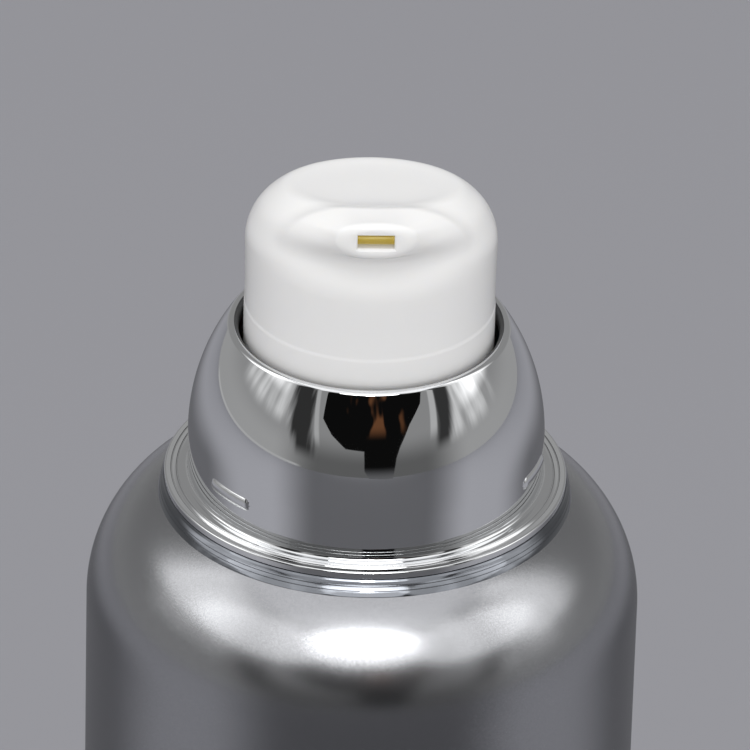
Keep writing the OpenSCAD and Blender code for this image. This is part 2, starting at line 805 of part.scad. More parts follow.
// Points crowd towards the nozzle by up to this many degrees
crowd = 28;
function turn(i) =
    let (even = 360 * i / ring_points)
    even - crowd * sin(even);
function button_point(row, i) =
    let (up = 90 * row / ring_count,
         a = turn(i),
         d = [cos(up) * sin(a), -cos(up) * cos(a), sin(up)])
    [0, 0, ray_z] + reach(d, ray_low, ray_high, halvings) * d;

module button_form() {
    skirt = [for (i = [0 : ring_points - 1])
        [button_r * sin(turn(i)), -button_r * cos(turn(i)), skirt_foot_z]];
    upper = [for (row = [0 : ring_count - 1])
        for (i = [0 : ring_points - 1]) button_point(row, i)];
    points = concat(skirt, upper, [button_point(ring_count, 0)]);
    top_point = ring_points * (ring_count + 1);
    last_row = ring_points * ring_count;
    faces = concat(
        [[for (i = [0 : ring_points - 1]) i]],
        [for (row = [0 : ring_count - 1])
            for (i = [0 : ring_points - 1])
                let (a = row * ring_points + i,
                     b = row * ring_points + (i + 1) % ring_points)
                each [[a, a + ring_points, b], [b, a + ring_points, b + ring_points]]],
        [for (i = [0 : ring_points - 1])
            [last_row + i, top_point, last_row + (i + 1) % ring_points]]);
    polyhedron(points = points, faces = faces);
}

// The button is hollow: skirt, a seat for the core's disc, and an attic under the roof
module button() {
    color([0.95, 0.95, 0.94])
        difference() {
            button_form();
            cylinder_between(button_r - skirt_wall, skirt_foot_z - cut, core_top_z);
            difference() {
                cylinder_between(attic_r, core_top_z - cut, over_top_z);
                roof_ball(0);
            }
            at_insert()
                box_along(insert_w + 2 * press_gap, insert_h + 2 * press_gap, insert_run + over);
            translate([-slot_w / 2, -brow_reach - over, nozzle_z - slot_h / 2])
                cube([slot_w, over + insert_front + insert_wall, slot_h]);
        }
}

// The ball that the attic's roof follows, grown by a clearance
module roof_ball(gap) {
    translate(roof_ball_pos)
        sphere(r = roof_r + gap);
}

// Place and slant of the insert's front end
module at_insert() {
    translate([0, -insert_y, nozzle_z])
        rotate([-insert_tilt, 0, 0])
            children();
}

// A bar of width w and height h, centred on the Y axis, that runs from the origin for len
module box_along(w, h, len) {
    translate([-w / 2, 0, -h / 2])
        cube([w, len, h]);
}

// Nozzle insert: outlet pocket in front, a lower duct behind, and an end that fits the attic
module nozzle_insert() {
    color([0.78, 0.62, 0.2])
        difference() {
            at_insert()
                box_along(insert_w, insert_h, insert_run + over);
            at_insert()
                translate([0, -cut, 0])
                    box_along(slot_w, slot_h, pocket_len);
            at_insert()
                box_along(slot_w, duct_h, insert_run + 2 * over);
            cylinder_between(attic_r, core_top_z, over_top_z);
        }
}

// Core: socket for the stem, disc that seats in the button, and the duct to the insert
module button_core() {
    duct_z = core_top_z + duct_wall;
    duct_top_z = duct_z + duct_h;
    arm_top_z = duct_top_z + duct_wall;
    window_z = nozzle_z - insert_run * tan(insert_tilt) - duct_h / 2;
    duct_y = duct_wall - post_r;
    color([0.92, 0.93, 0.93])
        difference() {
            union() {
                cylinder_between(guide_r, hub_z, core_disc_z + cut);
                cylinder_between(core_disc_r, core_disc_z, core_top_z);
                intersection() {
                    union() {
                        translate([-post_w / 2, -post_r, core_top_z - cut])
                            cube([post_w, post_t, over_top_z - core_top_z]);
                        translate([-post_w / 2, -post_r, core_top_z - cut])
                            cube([post_w, post_r + stem_bore_r + duct_wall, arm_top_z - core_top_z]);
                    }
                    cylinder_between(post_r, core_top_z - cut, over_top_z);
                }
            }
            roof_ball(press_gap);
            cylinder_between(socket_r, hub_z - cut, stem_top_z);
            cylinder_between(stem_bore_r, stem_top_z - cut, duct_top_z);
            translate([-slot_w / 2, duct_y, duct_z])
                cube([slot_w, -duct_y, duct_h]);
            translate([-slot_w / 2, duct_y, duct_z])
                cube([slot_w, duct_h, over_top_z - duct_z]);
            translate([-slot_w / 2, -post_r - cut, window_z])
                cube([slot_w, duct_wall + duct_h + cut, over_top_z - window_z]);
        }
}

outer_shell();
inner_bottle();
base_plate();
follower_piston();
collar();
lock_ring();
neck_gasket();
pump_housing();
chaplet();
ball_cage();
inlet_ball();
stem();
piston_rod();
pump_piston();
return_spring();
button();
button_core();
nozzle_insert();
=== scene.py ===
"""Looks of an airless pump bottle: satin silver shell, mirror-bright collar and white button.

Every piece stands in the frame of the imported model, in metres, with the nozzle towards -Y.
"""
import math

import bpy
import numpy as np
from bpy.props import FloatProperty, FloatVectorProperty, IntProperty, PointerProperty
from mathutils import Matrix, Vector


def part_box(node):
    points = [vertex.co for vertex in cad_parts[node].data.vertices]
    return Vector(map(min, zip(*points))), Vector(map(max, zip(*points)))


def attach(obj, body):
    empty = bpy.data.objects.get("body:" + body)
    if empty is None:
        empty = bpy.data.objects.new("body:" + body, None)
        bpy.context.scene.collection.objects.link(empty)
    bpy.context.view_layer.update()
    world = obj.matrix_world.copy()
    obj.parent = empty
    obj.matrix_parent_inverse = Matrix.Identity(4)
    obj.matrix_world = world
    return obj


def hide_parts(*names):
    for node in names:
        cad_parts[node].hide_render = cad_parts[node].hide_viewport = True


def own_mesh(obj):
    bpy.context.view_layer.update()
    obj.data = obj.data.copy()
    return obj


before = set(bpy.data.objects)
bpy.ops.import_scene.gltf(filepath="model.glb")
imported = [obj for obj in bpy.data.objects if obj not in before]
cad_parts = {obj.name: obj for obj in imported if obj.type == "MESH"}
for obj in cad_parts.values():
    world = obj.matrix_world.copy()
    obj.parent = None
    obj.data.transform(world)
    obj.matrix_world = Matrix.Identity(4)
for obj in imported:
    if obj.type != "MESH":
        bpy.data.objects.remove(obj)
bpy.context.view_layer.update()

bl_info = {
    "name": "Airless Pump Bottle",
    "version": (1, 0, 0),
    "blender": (4, 5, 0),
    "location": "3D View > Sidebar > Bottle",
    "description": "Dresses an airless pump bottle: shell, collar, button, finishes and studio",
    "category": "Add Mesh",
}

MM = 0.001

SHELL_LOW, SHELL_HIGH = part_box("outer_shell")
COLLAR_LOW, COLLAR_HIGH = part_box("collar")
BUTTON_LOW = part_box("button")[0]
FOOT_LOW, FOOT_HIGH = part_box("base_plate")
SPRING_LOW, SPRING_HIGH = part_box("return_spring")
INNER_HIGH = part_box("inner_bottle")[1]

# Sides of the round forms
SHELL_SIDES, FOOT_SIDES, COLLAR_SIDES, BUTTON_SIDES, WALL_SIDES = 384, 256, 720, 320, 96


def length(name, description, millimetres):
    """A property that holds a length, with its default given in millimetres."""
    return FloatProperty(name=name, description=description, default=millimetres * MM,
                         unit="LENGTH", precision=5)


def angle(name, description, degrees):
    """A property that holds an angle, with its default given in degrees."""
    return FloatProperty(name=name, description=description, default=math.radians(degrees),
                         subtype="ANGLE")


def factor(name, description, default):
    """A property that holds a plain number."""
    return FloatProperty(name=name, description=description, default=default)


def tint(name, description, red, green, blue):
    """A property that holds a linear colour."""
    return FloatVectorProperty(name=name, description=description, default=(red, green, blue),
                               subtype="COLOR", min=0.0, max=1.0)


class ShellForm(bpy.types.PropertyGroup):
    """Sizes of the outer shell that its box doesn't give."""
    wall: length("Wall", "Wall of the outer shell", 1.8)
    shoulder: length("Shoulder", "Radius of the round shoulder", 10.0)
    land_foot: length("Land Foot", "Radius of the raised land at its foot", 14.9)
    land_draft: length("Land Draft", "How much the land draws in towards its top", 0.3)
    land_height: length("Land Height", "Height of the land under the collar", 1.25)
    neck_hole: length("Neck Hole", "Radius of the hole inside the land", 12.0)
    inner_top: length("Inner Top", "Height of the ceiling inside the shoulder", 90.683)
    edge: length("Edge", "Round of the shell's edges", 0.12)
    groove: length("Groove", "Depth of the fine turned lines on the land", 0.03)
    land_tip: angle("Land Tip", "How far the land shades upwards at its foot", 31.0)
    land_round: angle("Land Round", "Further tip of the shading towards the land's top", 22.0)


class CollarForm(bpy.types.PropertyGroup):
    """Sizes of the collar."""
    foot_radius: length("Foot Radius", "Radius of the straight foot", 12.82)
    wall: length("Wall", "Wall of the collar", 1.1)
    flange: length("Flange", "Thickness of the flange", 0.55)
    fillet: length("Fillet", "Hollow round between the flange and the foot", 0.3)
    rim_round: length("Rim Round", "Round of the flange's rim", 0.15)
    ring_groove: length("Ring Groove", "Depth of the two fine rings on the flange", 0.035)
    dome_start: length("Dome Start", "Height at which the dome starts", 97.0)
    mouth: length("Mouth", "Radius of the mouth round the button", 9.33)
    lip: length("Lip", "Round of the lip", 0.45)
    nub_height: length("Nub Height", "Height of the snap nubs' middle", 96.3)
    nub_tall: length("Nub Size", "Height of one snap nub", 1.0)
    nub_out: length("Nub Reach", "How far a snap nub stands out", 0.2)
    nub_count: IntProperty(name="Nubs", description="Number of snap nubs", default=3, min=1)
    nub_place: angle("First Nub", "Place of the first nub from the nozzle", 69.0)
    nub_span: angle("Nub Span", "Length of one nub round the collar", 19.0)


class ButtonForm(bpy.types.PropertyGroup):
    """Sizes of the press button."""
    radius: length("Radius", "Radius of the button", 8.98)
    top: length("Top", "Height of the slanted top on the axis", 117.6)
    tilt: angle("Tilt", "Slant of the top", 11.0)
    edge: length("Edge", "Round between the side and the top", 4.7)
    dish_depth: length("Dish Depth", "Depth of the finger dish", 0.5)
    dish_radius: length("Dish Radius", "Radius of the finger dish towards the nozzle", 6.6)
    dish_wide: factor("Dish Width", "How much wider the dish is across", 1.2)
    dish_back: length("Dish Back", "How far the dish's middle lies behind the axis", 0.4)
    dish_flat: factor("Dish Flatness", "How flat the dish's floor is", 5.0)
    dish_edge: length("Dish Edge", "Softness of the dish's edge", 0.35)
    slot_width: length("Slot Width", "Width of the outlet slot", 2.6)
    slot_height: length("Slot Height", "Height of the outlet slot", 1.04)
    nozzle: length("Nozzle", "Height of the slot's middle", 117.65)
    brow_width: length("Brow Width", "Width of the nozzle's oval face", 4.9)
    brow_height: length("Brow Height", "Height of the nozzle's oval face", 2.4)
    brow_reach: length("Brow Reach", "Distance of the oval face from the axis", 9.2)
    brow_rise: length("Brow Rise", "How far the oval face lies above the slot's middle", 0.15)
    brow_flare: factor("Brow Flare", "How fast the brow widens inwards", 1.0)
    brow_flare_len: length("Flare Length", "Distance over which the widening slows down", 3.0)
    brow_square: factor("Brow Squareness", "2 is an ellipse", 2.4)
    brow_depth: length("Brow Depth", "How far the brow reaches back", 3.5)
    brow_blend: length("Brow Blend", "Soft blend between the brow and the button", 1.7)
    brow_edge: length("Brow Edge", "Round of the oval face's edge", 0.4)
    brow_edge_up: length("Brow Upper Edge", "How much rounder the upper edge is", 0.25)
    scoop_width: length("Scoop Width", "Width of the shallow scoop under the nozzle", 10.4)
    scoop_height: length("Scoop Height", "Height of the scoop", 2.5)
    scoop_depth: length("Scoop Depth", "Depth of the scoop", 0.65)
    scoop_drop: length("Scoop Drop", "How far the scoop lies below the slot", 2.15)
    scoop_edge: length("Scoop Edge", "Softness of the scoop's edge", 0.95)
    skirt_wall: length("Skirt Wall", "Wall of the skirt", 1.1)
    attic_wall: length("Attic Wall", "Wall round the attic", 3.0)
    roof_drop: length("Roof Drop", "How far the attic's roof lies below the top", 1.7)
    roof_radius: length("Roof Radius", "Radius of the ball that the attic's roof follows", 41.0)
    disc_top: length("Disc Top", "Height of the core's disc, on which the button sits", 111.7)
    insert_front: length("Insert Front", "Depth of the nozzle insert behind the oval face", 0.8)
    insert_wall: length("Insert Wall", "Wall of the nozzle insert", 0.3)
    insert_tilt: angle("Insert Tilt", "Slant of the nozzle insert", 12.0)
    step_height: length("Step Height", "Height of the faint step round the skirt", 107.9)
    step_out: length("Step", "How far the skirt steps in above it", 0.045)
    step_soft: length("Step Softness", "Height over which the step runs out", 0.35)


class Finishes(bpy.types.PropertyGroup):
    """Colours of the finishes, linear."""
    silver: tint("Silver", "Satin silver lacquer", 0.41, 0.415, 0.43)
    land: tint("Land", "Polished land under the collar", 0.17, 0.18, 0.2)
    mirror: tint("Mirror", "Bright metallised collar", 0.84, 0.85, 0.86)
    white: tint("White", "White button", 0.86, 0.855, 0.83)
    golden: tint("Golden", "Nozzle insert", 0.7, 0.56, 0.07)
    pale_gold: tint("Pale Gold", "Foot of the nozzle insert", 0.88, 0.8, 0.45)
    foot: tint("Foot", "Grey foot", 0.24, 0.245, 0.26)
    natural: tint("Natural", "Natural plastic of the inner pieces", 0.78, 0.79, 0.79)
    steel: tint("Steel", "Stainless steel", 0.62, 0.63, 0.64)
    gasket: tint("Gasket", "Pale gasket", 0.55, 0.56, 0.58)
    ground: tint("Ground", "Plain floor and background", 0.302, 0.302, 0.317)


class Studio(bpy.types.PropertyGroup):
    """Camera and room."""
    distance: length("Distance", "Camera distance", 650.0)
    azimuth: angle("Azimuth", "Camera azimuth from the nozzle", -2.2)
    elevation: angle("Elevation", "Camera elevation", 30.173)
    roll: angle("Roll", "Camera roll", -1.544)
    aim_side: length("Aim Side", "How far the view's middle lies to the right of the axis", 0.521)
    aim_height: length("Aim Height", "Height of the view's middle", 101.591)
    lens: factor("Lens", "Focal length in millimetres", 435.6)
    room_light: factor("Room Light", "Strength of the even light from the room", 1.9)


# Outlines: each piece of an outline is a list of (radius, height, normal_r, normal_z)

def line(start, end):
    """A straight piece of an outline; the outside lies to the right of its direction."""
    step = (end[0] - start[0], end[1] - start[1])
    size = math.hypot(*step)
    normal = (step[1] / size, -step[0] / size)
    return [(*start, *normal), (*end, *normal)]


def arc(centre, radius, start, end, steps, hollow=False):
    """A round piece from the angle start to end in degrees; hollow arcs face their centre."""
    sign = -1.0 if hollow else 1.0
    points = []
    for i in range(steps + 1):
        turn = math.radians(start + (end - start) * i / steps)
        out, up = math.cos(turn), math.sin(turn)
        points.append((centre[0] + radius * out, centre[1] + radius * up, sign * out, sign * up))
    return points


def tipped(start, end, low, high, steps=4):
    """A straight piece that shades like a soft bead: its normal tips from low to high degrees."""
    points = []
    for i in range(steps + 1):
        share = i / steps
        tip = math.radians(low + (high - low) * share)
        place = [a + (b - a) * share for a, b in zip(start, end)]
        points.append((*place, math.cos(tip), math.sin(tip)))
    return points


def joined(*pieces):
    """Closes the gaps between an outline's pieces with straight lines."""
    outline = []
    for i, piece in enumerate(pieces):
        following = pieces[(i + 1) % len(pieces)]
        outline.append(piece)
        if math.dist(piece[-1][:2], following[0][:2]) > 1e-7:
            outline.append(line(piece[-1][:2], following[0][:2]))
    return outline


def mesh_object(name, points, faces, body, material, replaced=()):
    """An object from points and faces that rides on a body."""
    mesh = bpy.data.meshes.new(name)
    mesh.from_pydata([tuple(p) for p in points], [], faces)
    mesh.validate()
    mesh.update()
    obj = bpy.data.objects.new(name, mesh)
    bpy.context.scene.collection.objects.link(obj)
    if material:
        mesh.materials.append(material)
    if body:
        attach(obj, body)
    if replaced:
        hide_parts(*replaced)
    return obj


def band(low, high, around):
    """Faces between two rows of points, each given by the index of its first point."""
    ends = [(i, (i + 1) % around) for i in range(around)]
    return [(low + i, low + j, high + j, high + i) for i, j in ends]


def tube(rows, around):
    """Faces of a closed tube through rows of points, whose ends are flat."""
    faces = [tuple(range(around)), tuple(reversed(range((rows - 1) * around, rows * around)))]
    for row in range(rows - 1):
        faces += [face[::-1] for face in band(row * around, (row + 1) * around, around)]
    return faces


def lathe(name, outline, segments, body, material, replaced=(), shape=None):
    """Turns a closed outline about Z, with the outline's own normals on every corner."""
    spans = [span for piece in outline for span in zip(piece, piece[1:])]
    turns = [2 * math.pi * s / segments for s in range(segments)]
    ways = [(math.sin(turn), -math.cos(turn)) for turn in turns]
    points, faces, corners = [], [], []
    for index, (first, last) in enumerate(spans):
        radius, height = first[:2]
        faces += band(index * segments, (index + 1) % len(spans) * segments, segments)
        for s, (x, y) in enumerate(ways):
            grown = radius + (shape(turns[s], radius, height) if shape else 0.0)
            points.append((grown * x, grown * y, height))
            e = (s + 1) % segments
            for (_, _, out, up), way in ((first, s), (first, e), (last, e), (last, s)):
                corners.append((out * ways[way][0], out * ways[way][1], up))
    obj = mesh_object(name, points, faces, body, material, replaced)
    set_normals(obj, corners)
    return obj


def set_normals(obj, corners):
    """Smooth faces that carry these corner normals."""
    mesh = obj.data
    mesh.polygons.foreach_set("use_smooth", [True] * len(mesh.polygons))
    mesh.normals_split_custom_set(corners)


# Shell, and where the turned lines run, in shares of the land's height

LINES = (0.36, 0.62)


def shell_outline(form):
    """Outer shell: side, round shoulder, land with fine turned lines, and the hollow inside."""
    side = SHELL_HIGH.x
    foot, top = SHELL_LOW.z, SHELL_HIGH.z
    seat = top - form.land_height
    middle = side - form.shoulder
    rise = math.acos((form.land_foot - middle) / form.shoulder)
    round_z = seat - form.shoulder * math.sin(rise)
    inner = side - form.wall
    e = form.edge
    tip, more = math.degrees(form.land_tip), math.degrees(form.land_round)
    pieces = [arc((side - e, foot + e), e, -90, 0, 6),
              arc((middle, round_z), form.shoulder, 0, math.degrees(rise), 96)]

    def on_land(share):
        return form.land_foot - form.land_draft * share, seat + form.land_height * share

    last = 0.0
    for share in (*LINES, 1.0 - e / form.land_height):
        half = form.groove / form.land_height if share in LINES else 0.0
        pieces.append(tipped(on_land(last), on_land(share - half), tip + more * last,
                             tip + more * (share - half)))
        last = share + half
        if half:
            pieces.append(arc(on_land(share), form.groove, 270, 90, 8, hollow=True))
    top_r = form.land_foot - form.land_draft
    return joined(
        *pieces,
        arc((top_r - e, top - e), e, tip + more, 90, 6),
        line((form.neck_hole, top), (form.neck_hole, form.inner_top)),
        arc((middle, round_z), form.inner_top - round_z, 90, 0, 32, hollow=True),
        line((inner, round_z), (inner, foot)),
    )


class BOTTLE_OT_shell(bpy.types.Operator):
    """Adds the satin silver outer shell"""
    bl_idname = "bottle.shell"
    bl_label = "Outer Shell"

    def execute(self, context):
        form = context.scene.bottle_shell
        satin = silver_lacquer(context.scene.bottle_finishes)
        shell = lathe("shell", shell_outline(form), SHELL_SIDES, "bottle", satin, ("outer_shell",))
        shell.data.materials.append(polished_land(context.scene.bottle_finishes))
        land_foot = SHELL_HIGH.z - form.land_height - 0.02 * MM
        for face in shell.data.polygons:
            outside = math.hypot(face.center.x, face.center.y) > form.neck_hole + 0.1 * MM
            if face.center.z > land_foot and outside:
                face.material_index = 1
        return {"FINISHED"}


# Foot

def foot_outline(form, rim_round):
    """Foot: visible rim, plug, seat ring for the inner bottle, floor with the air hole."""
    rim, low, high = FOOT_HIGH.x, FOOT_LOW.z, FOOT_HIGH.z
    shell_foot = SHELL_LOW.z
    plug = SHELL_HIGH.x - form.wall - 0.02 * MM
    seat_out = INNER_HIGH.x
    seat_in = seat_out - 1.6 * MM
    plug_top = shell_foot + 3.4 * MM
    floor_top = shell_foot + 1.6 * MM
    hollow = plug - 2.6 * MM
    hollow_top = 0.7 * MM
    vent = 1.0 * MM
    r = rim_round
    return joined(
        arc((rim - r, low + r), r, -90, 0, 8),
        arc((rim - 0.5 * r, shell_foot - 0.5 * r), 0.5 * r, 0, 90, 4),
        line((plug, shell_foot), (plug, plug_top)),
        line((seat_out, plug_top), (seat_out, high)),
        line((seat_in, high), (seat_in, floor_top)),
        line((vent, floor_top), (vent, hollow_top)),
        arc((hollow - r, hollow_top - r), r, 90, 0, 6, hollow=True),
        arc((hollow + r, low + r), r, 180, 270, 6),
    )


class BOTTLE_OT_foot(bpy.types.Operator):
    """Adds the grey foot that closes the shell"""
    bl_idname = "bottle.foot"
    bl_label = "Foot"

    def execute(self, context):
        form = context.scene.bottle_shell
        grey = plastic("foot_plastic", context.scene.bottle_finishes.foot, 0.42, scale=6000.0)
        foot = lathe("foot", foot_outline(form, 0.25 * MM), FOOT_SIDES, "bottle", grey,
                     ("base_plate",))
        return {"FINISHED"}


# Collar: rows of points stand close together over a zone as tall as 1.2 nubs

NUB_ZONE = 0.6
NUB_ROWS = 37


def collar_outline(form):
    """Collar: flange, hollow round, straight foot, dome and full-round lip."""
    bottom, top = COLLAR_LOW.z, COLLAR_HIGH.z
    rim = COLLAR_HIGH.x
    foot = form.foot_radius
    ledge = bottom + form.flange
    lip_z = top - form.lip
    lip_x = form.mouth + form.lip
    inwards, upwards = lip_x - foot, lip_z - form.dome_start
    dome = (inwards ** 2 + upwards ** 2 - form.lip ** 2) / (-2 * (inwards + form.lip))
    touch = math.degrees(math.atan2(upwards, inwards + dome))
    inside = dome - form.wall
    bore = foot - form.wall
    mouth_rise = math.degrees(math.acos((form.mouth - foot + dome) / inside))
    rr = form.rim_round
    small = 0.1 * MM
    zone = NUB_ZONE * form.nub_tall
    return joined(
        arc((rim - small, bottom + small), small, -90, 0, 4),
        arc((rim - rr, ledge - rr), rr, 0, 90, 10),
        *flange_top(rim - rr, foot + form.fillet, ledge, form.ring_groove),
        arc((foot + form.fillet, ledge + form.fillet), form.fillet, 270, 180, 16, hollow=True),
        [(foot, form.nub_height + rise, 1.0, 0.0) for rise in np.linspace(-zone, zone, NUB_ROWS)],
        arc((foot - dome, form.dome_start), dome, 0, touch, 72),
        arc((lip_x, lip_z), form.lip, touch, 180, 24),
        arc((foot - dome, form.dome_start), inside, mouth_rise, 0, 32, hollow=True),
        line((bore, form.dome_start), (bore, bottom)),
    )


def flange_top(outer, inner, height, groove):
    """Top of the flange: it shades like a soft slope and has two fine rings."""
    pieces = []
    start, tips = outer, ((12.0, 26.0), (40.0, 55.0), (60.0, 84.0))
    half = 0.06 * MM
    for ring, share in enumerate((0.3, 0.62, 1.0)):
        middle = outer + (inner - outer) * share
        end = middle if share == 1.0 else middle + half
        pieces.append(tipped((start, height), (end, height), *tips[ring]))
        if share < 1.0:
            radius = (half ** 2 + groove ** 2) / (2 * groove)
            spread = math.degrees(math.asin(half / radius))
            pieces.append(arc((middle, height + radius - groove), radius, 270 + spread,
                              270 - spread, 6, hollow=True))
            start = middle - half
    return pieces


def nub_shape(form):
    """How far the collar's foot swells at a turn and a height, for its snap nubs."""
    half = form.nub_tall / 2
    bow = (half ** 2 + form.nub_out ** 2) / (2 * form.nub_out)
    places = [form.nub_place + 2 * math.pi * i / form.nub_count for i in range(form.nub_count)]

    def swell(turn, radius, height):
        if abs(radius - form.foot_radius) > 1e-6 or abs(height - form.nub_height) >= half:
            return 0.0
        for place in places:
            away = abs((turn - place + math.pi) % (2 * math.pi) - math.pi)
            past = max(0.0, (away - form.nub_span / 2) * form.foot_radius + half)
            reach = math.hypot(height - form.nub_height, past)
            if past < half and reach < half:
                return math.sqrt(bow ** 2 - reach ** 2) - (bow - form.nub_out)
        return 0.0
    return swell


class BOTTLE_OT_collar(bpy.types.Operator):
    """Adds the mirror-bright collar with its snap nubs"""
    bl_idname = "bottle.collar"
    bl_label = "Collar"

    def execute(self, context):
        form = context.scene.bottle_collar
        bright = bright_metal(context.scene.bottle_finishes)
        collar = lathe("collar_shell", collar_outline(form), COLLAR_SIDES, "bottle", bright,
                       ("collar",), shape=nub_shape(form))
        soften_nubs(collar, form)
        # The inward faces get a painted shade: dark so that the gap between the lip and the button
        # reads as shaded.
        collar.data.materials.append(dull_inside_painted_shade(context.scene.bottle_finishes))
        for face in collar.data.polygons:
            middle = face.center
            away = math.hypot(middle.x, middle.y)
            if (face.normal.x * middle.x + face.normal.y * middle.y) / away < -0.3:
                face.material_index = 1
        return {"FINISHED"}


def soften_nubs(collar, form):
    """Corner normals of the swollen nubs, measured on their own slopes."""
    swell = nub_shape(form)
    foot = form.foot_radius
    small = 0.002 * MM
    mesh = collar.data
    normals = [tuple(corner.vector) for corner in mesh.corner_normals]
    for face in mesh.polygons:
        if abs(face.center.z - form.nub_height) > NUB_ZONE * form.nub_tall:
            continue
        for corner, v in zip(face.loop_indices, face.vertices):
            p = mesh.vertices[v].co
            if normals[corner][0] * p.x + normals[corner][1] * p.y < 0:
                continue
            turn = math.atan2(p.x, -p.y)
            up = swell(turn, foot, p.z + small) - swell(turn, foot, p.z - small)
            ahead = swell(turn + small / foot, foot, p.z) - swell(turn - small / foot, foot, p.z)
            out = Vector((math.sin(turn), -math.cos(turn), 0))
            along = Vector((math.cos(turn), math.sin(turn), 0))
            slope = out - (ahead * along + up * Vector((0, 0, 1))) / (2 * small)
            normals[corner] = tuple(slope.normalized())
    set_normals(collar, normals)


# Button: the outer form is where blended distances come to nought

HALVINGS = 40
# A corner shades by the form's slope where it lies on the form and its face tips little from it
SKIN = 0.004 * MM
SAME_WAY = 0.85


def round_meet(a, b, r):
    """Two forms cut to what they share, with a round edge of radius r."""
    return np.minimum(-r, np.maximum(a, b)) + np.hypot(np.maximum(r + a, 0), np.maximum(r + b, 0))


def soft_max(a, b, k):
    """The larger of two distances, blended over the width k."""
    return np.maximum(a, b) + np.maximum(k - np.abs(a - b), 0) ** 2 / (4 * k)


def roof_ball(form):
    """Middle of the ball that the attic's roof follows."""
    up = form.roof_radius - form.roof_drop
    return np.array([0.0, math.sin(form.tilt) * up, form.top + math.cos(form.tilt) * up])


def brow_gap(p, form):
    """Distance outside the nozzle's brow, an oval that widens inwards."""
    inward = form.brow_reach + p[..., 1]
    deep = np.maximum(inward, 0)
    lift = p[..., 2] - form.nozzle - form.brow_rise + inward * math.tan(form.tilt)
    half_w = form.brow_width / 2 + form.brow_flare * deep / (1 + deep / form.brow_flare_len)
    half_h = form.brow_height / 2
    square = form.brow_square
    across = np.abs(p[..., 0] / half_w) ** square + np.abs(lift / half_h) ** square
    oval = (across ** (1 / square) - 1) * half_h
    edge = form.brow_edge + form.brow_edge_up * np.clip(lift / half_h, -1, 1)
    return round_meet(oval, np.maximum(-inward, inward - form.brow_depth), edge)


def scoop_gap(p, form):
    """Distance outside the shallow scoop under the nozzle."""
    depth = (np.hypot(p[..., 0], p[..., 1]) - form.radius) / form.scoop_depth
    high = 2 * (p[..., 2] - form.nozzle + form.scoop_drop) / form.scoop_height
    gap = (np.sqrt((2 * p[..., 0] / form.scoop_width) ** 2 + depth ** 2 + high ** 2) - 1)
    return np.where(p[..., 1] > 0, 2 * form.radius, gap * form.scoop_depth)


def button_gap(p, form):
    """Distance outside the whole button."""
    above = np.clip((p[..., 2] - form.step_height) / form.step_soft + 0.5, 0, 1)
    step = form.step_out * above * above * (3 - 2 * above)
    step = step * np.clip((form.disc_top + 1 * MM - p[..., 2]) / (3 * MM), 0, 1)
    side = np.hypot(p[..., 0], p[..., 1]) - form.radius + step
    top = (p[..., 2] - form.top) * math.cos(form.tilt) + p[..., 1] * math.sin(form.tilt)
    along = p[..., 1] * math.cos(form.tilt) - (p[..., 2] - form.top) * math.sin(form.tilt)
    reach = np.hypot(p[..., 0] / form.dish_wide, along - form.dish_back) / form.dish_radius
    dish = top + form.dish_depth * (1 - np.minimum(reach, 3) ** form.dish_flat)
    block = soft_max(round_meet(side, top, form.edge), -scoop_gap(p, form), form.scoop_edge)
    both = -soft_max(-block, -brow_gap(p, form), form.brow_blend)
    return soft_max(both, dish, form.dish_edge)


def slope_of(p, form):
    """Unit normals of the button's outer form at points p."""
    small = 0.001 * MM
    slope = np.empty_like(p)
    for axis in range(3):
        shift = np.zeros(3)
        shift[axis] = small
        slope[..., axis] = button_gap(p + shift, form) - button_gap(p - shift, form)
    return slope / np.linalg.norm(slope, axis=-1, keepdims=True)


def reach_along(ways, starts, form):
    """Distance from the starts to the form along each way, by halving."""
    low = np.full(ways.shape[:-1], 0.4 * form.radius)
    high = np.full(ways.shape[:-1], 1.6 * form.radius)
    for _ in range(HALVINGS):
        middle = (low + high) / 2
        outside = button_gap(starts + middle[..., None] * ways, form) > 0
        high = np.where(outside, middle, high)
        low = np.where(outside, low, middle)
    return (low + high) / 2


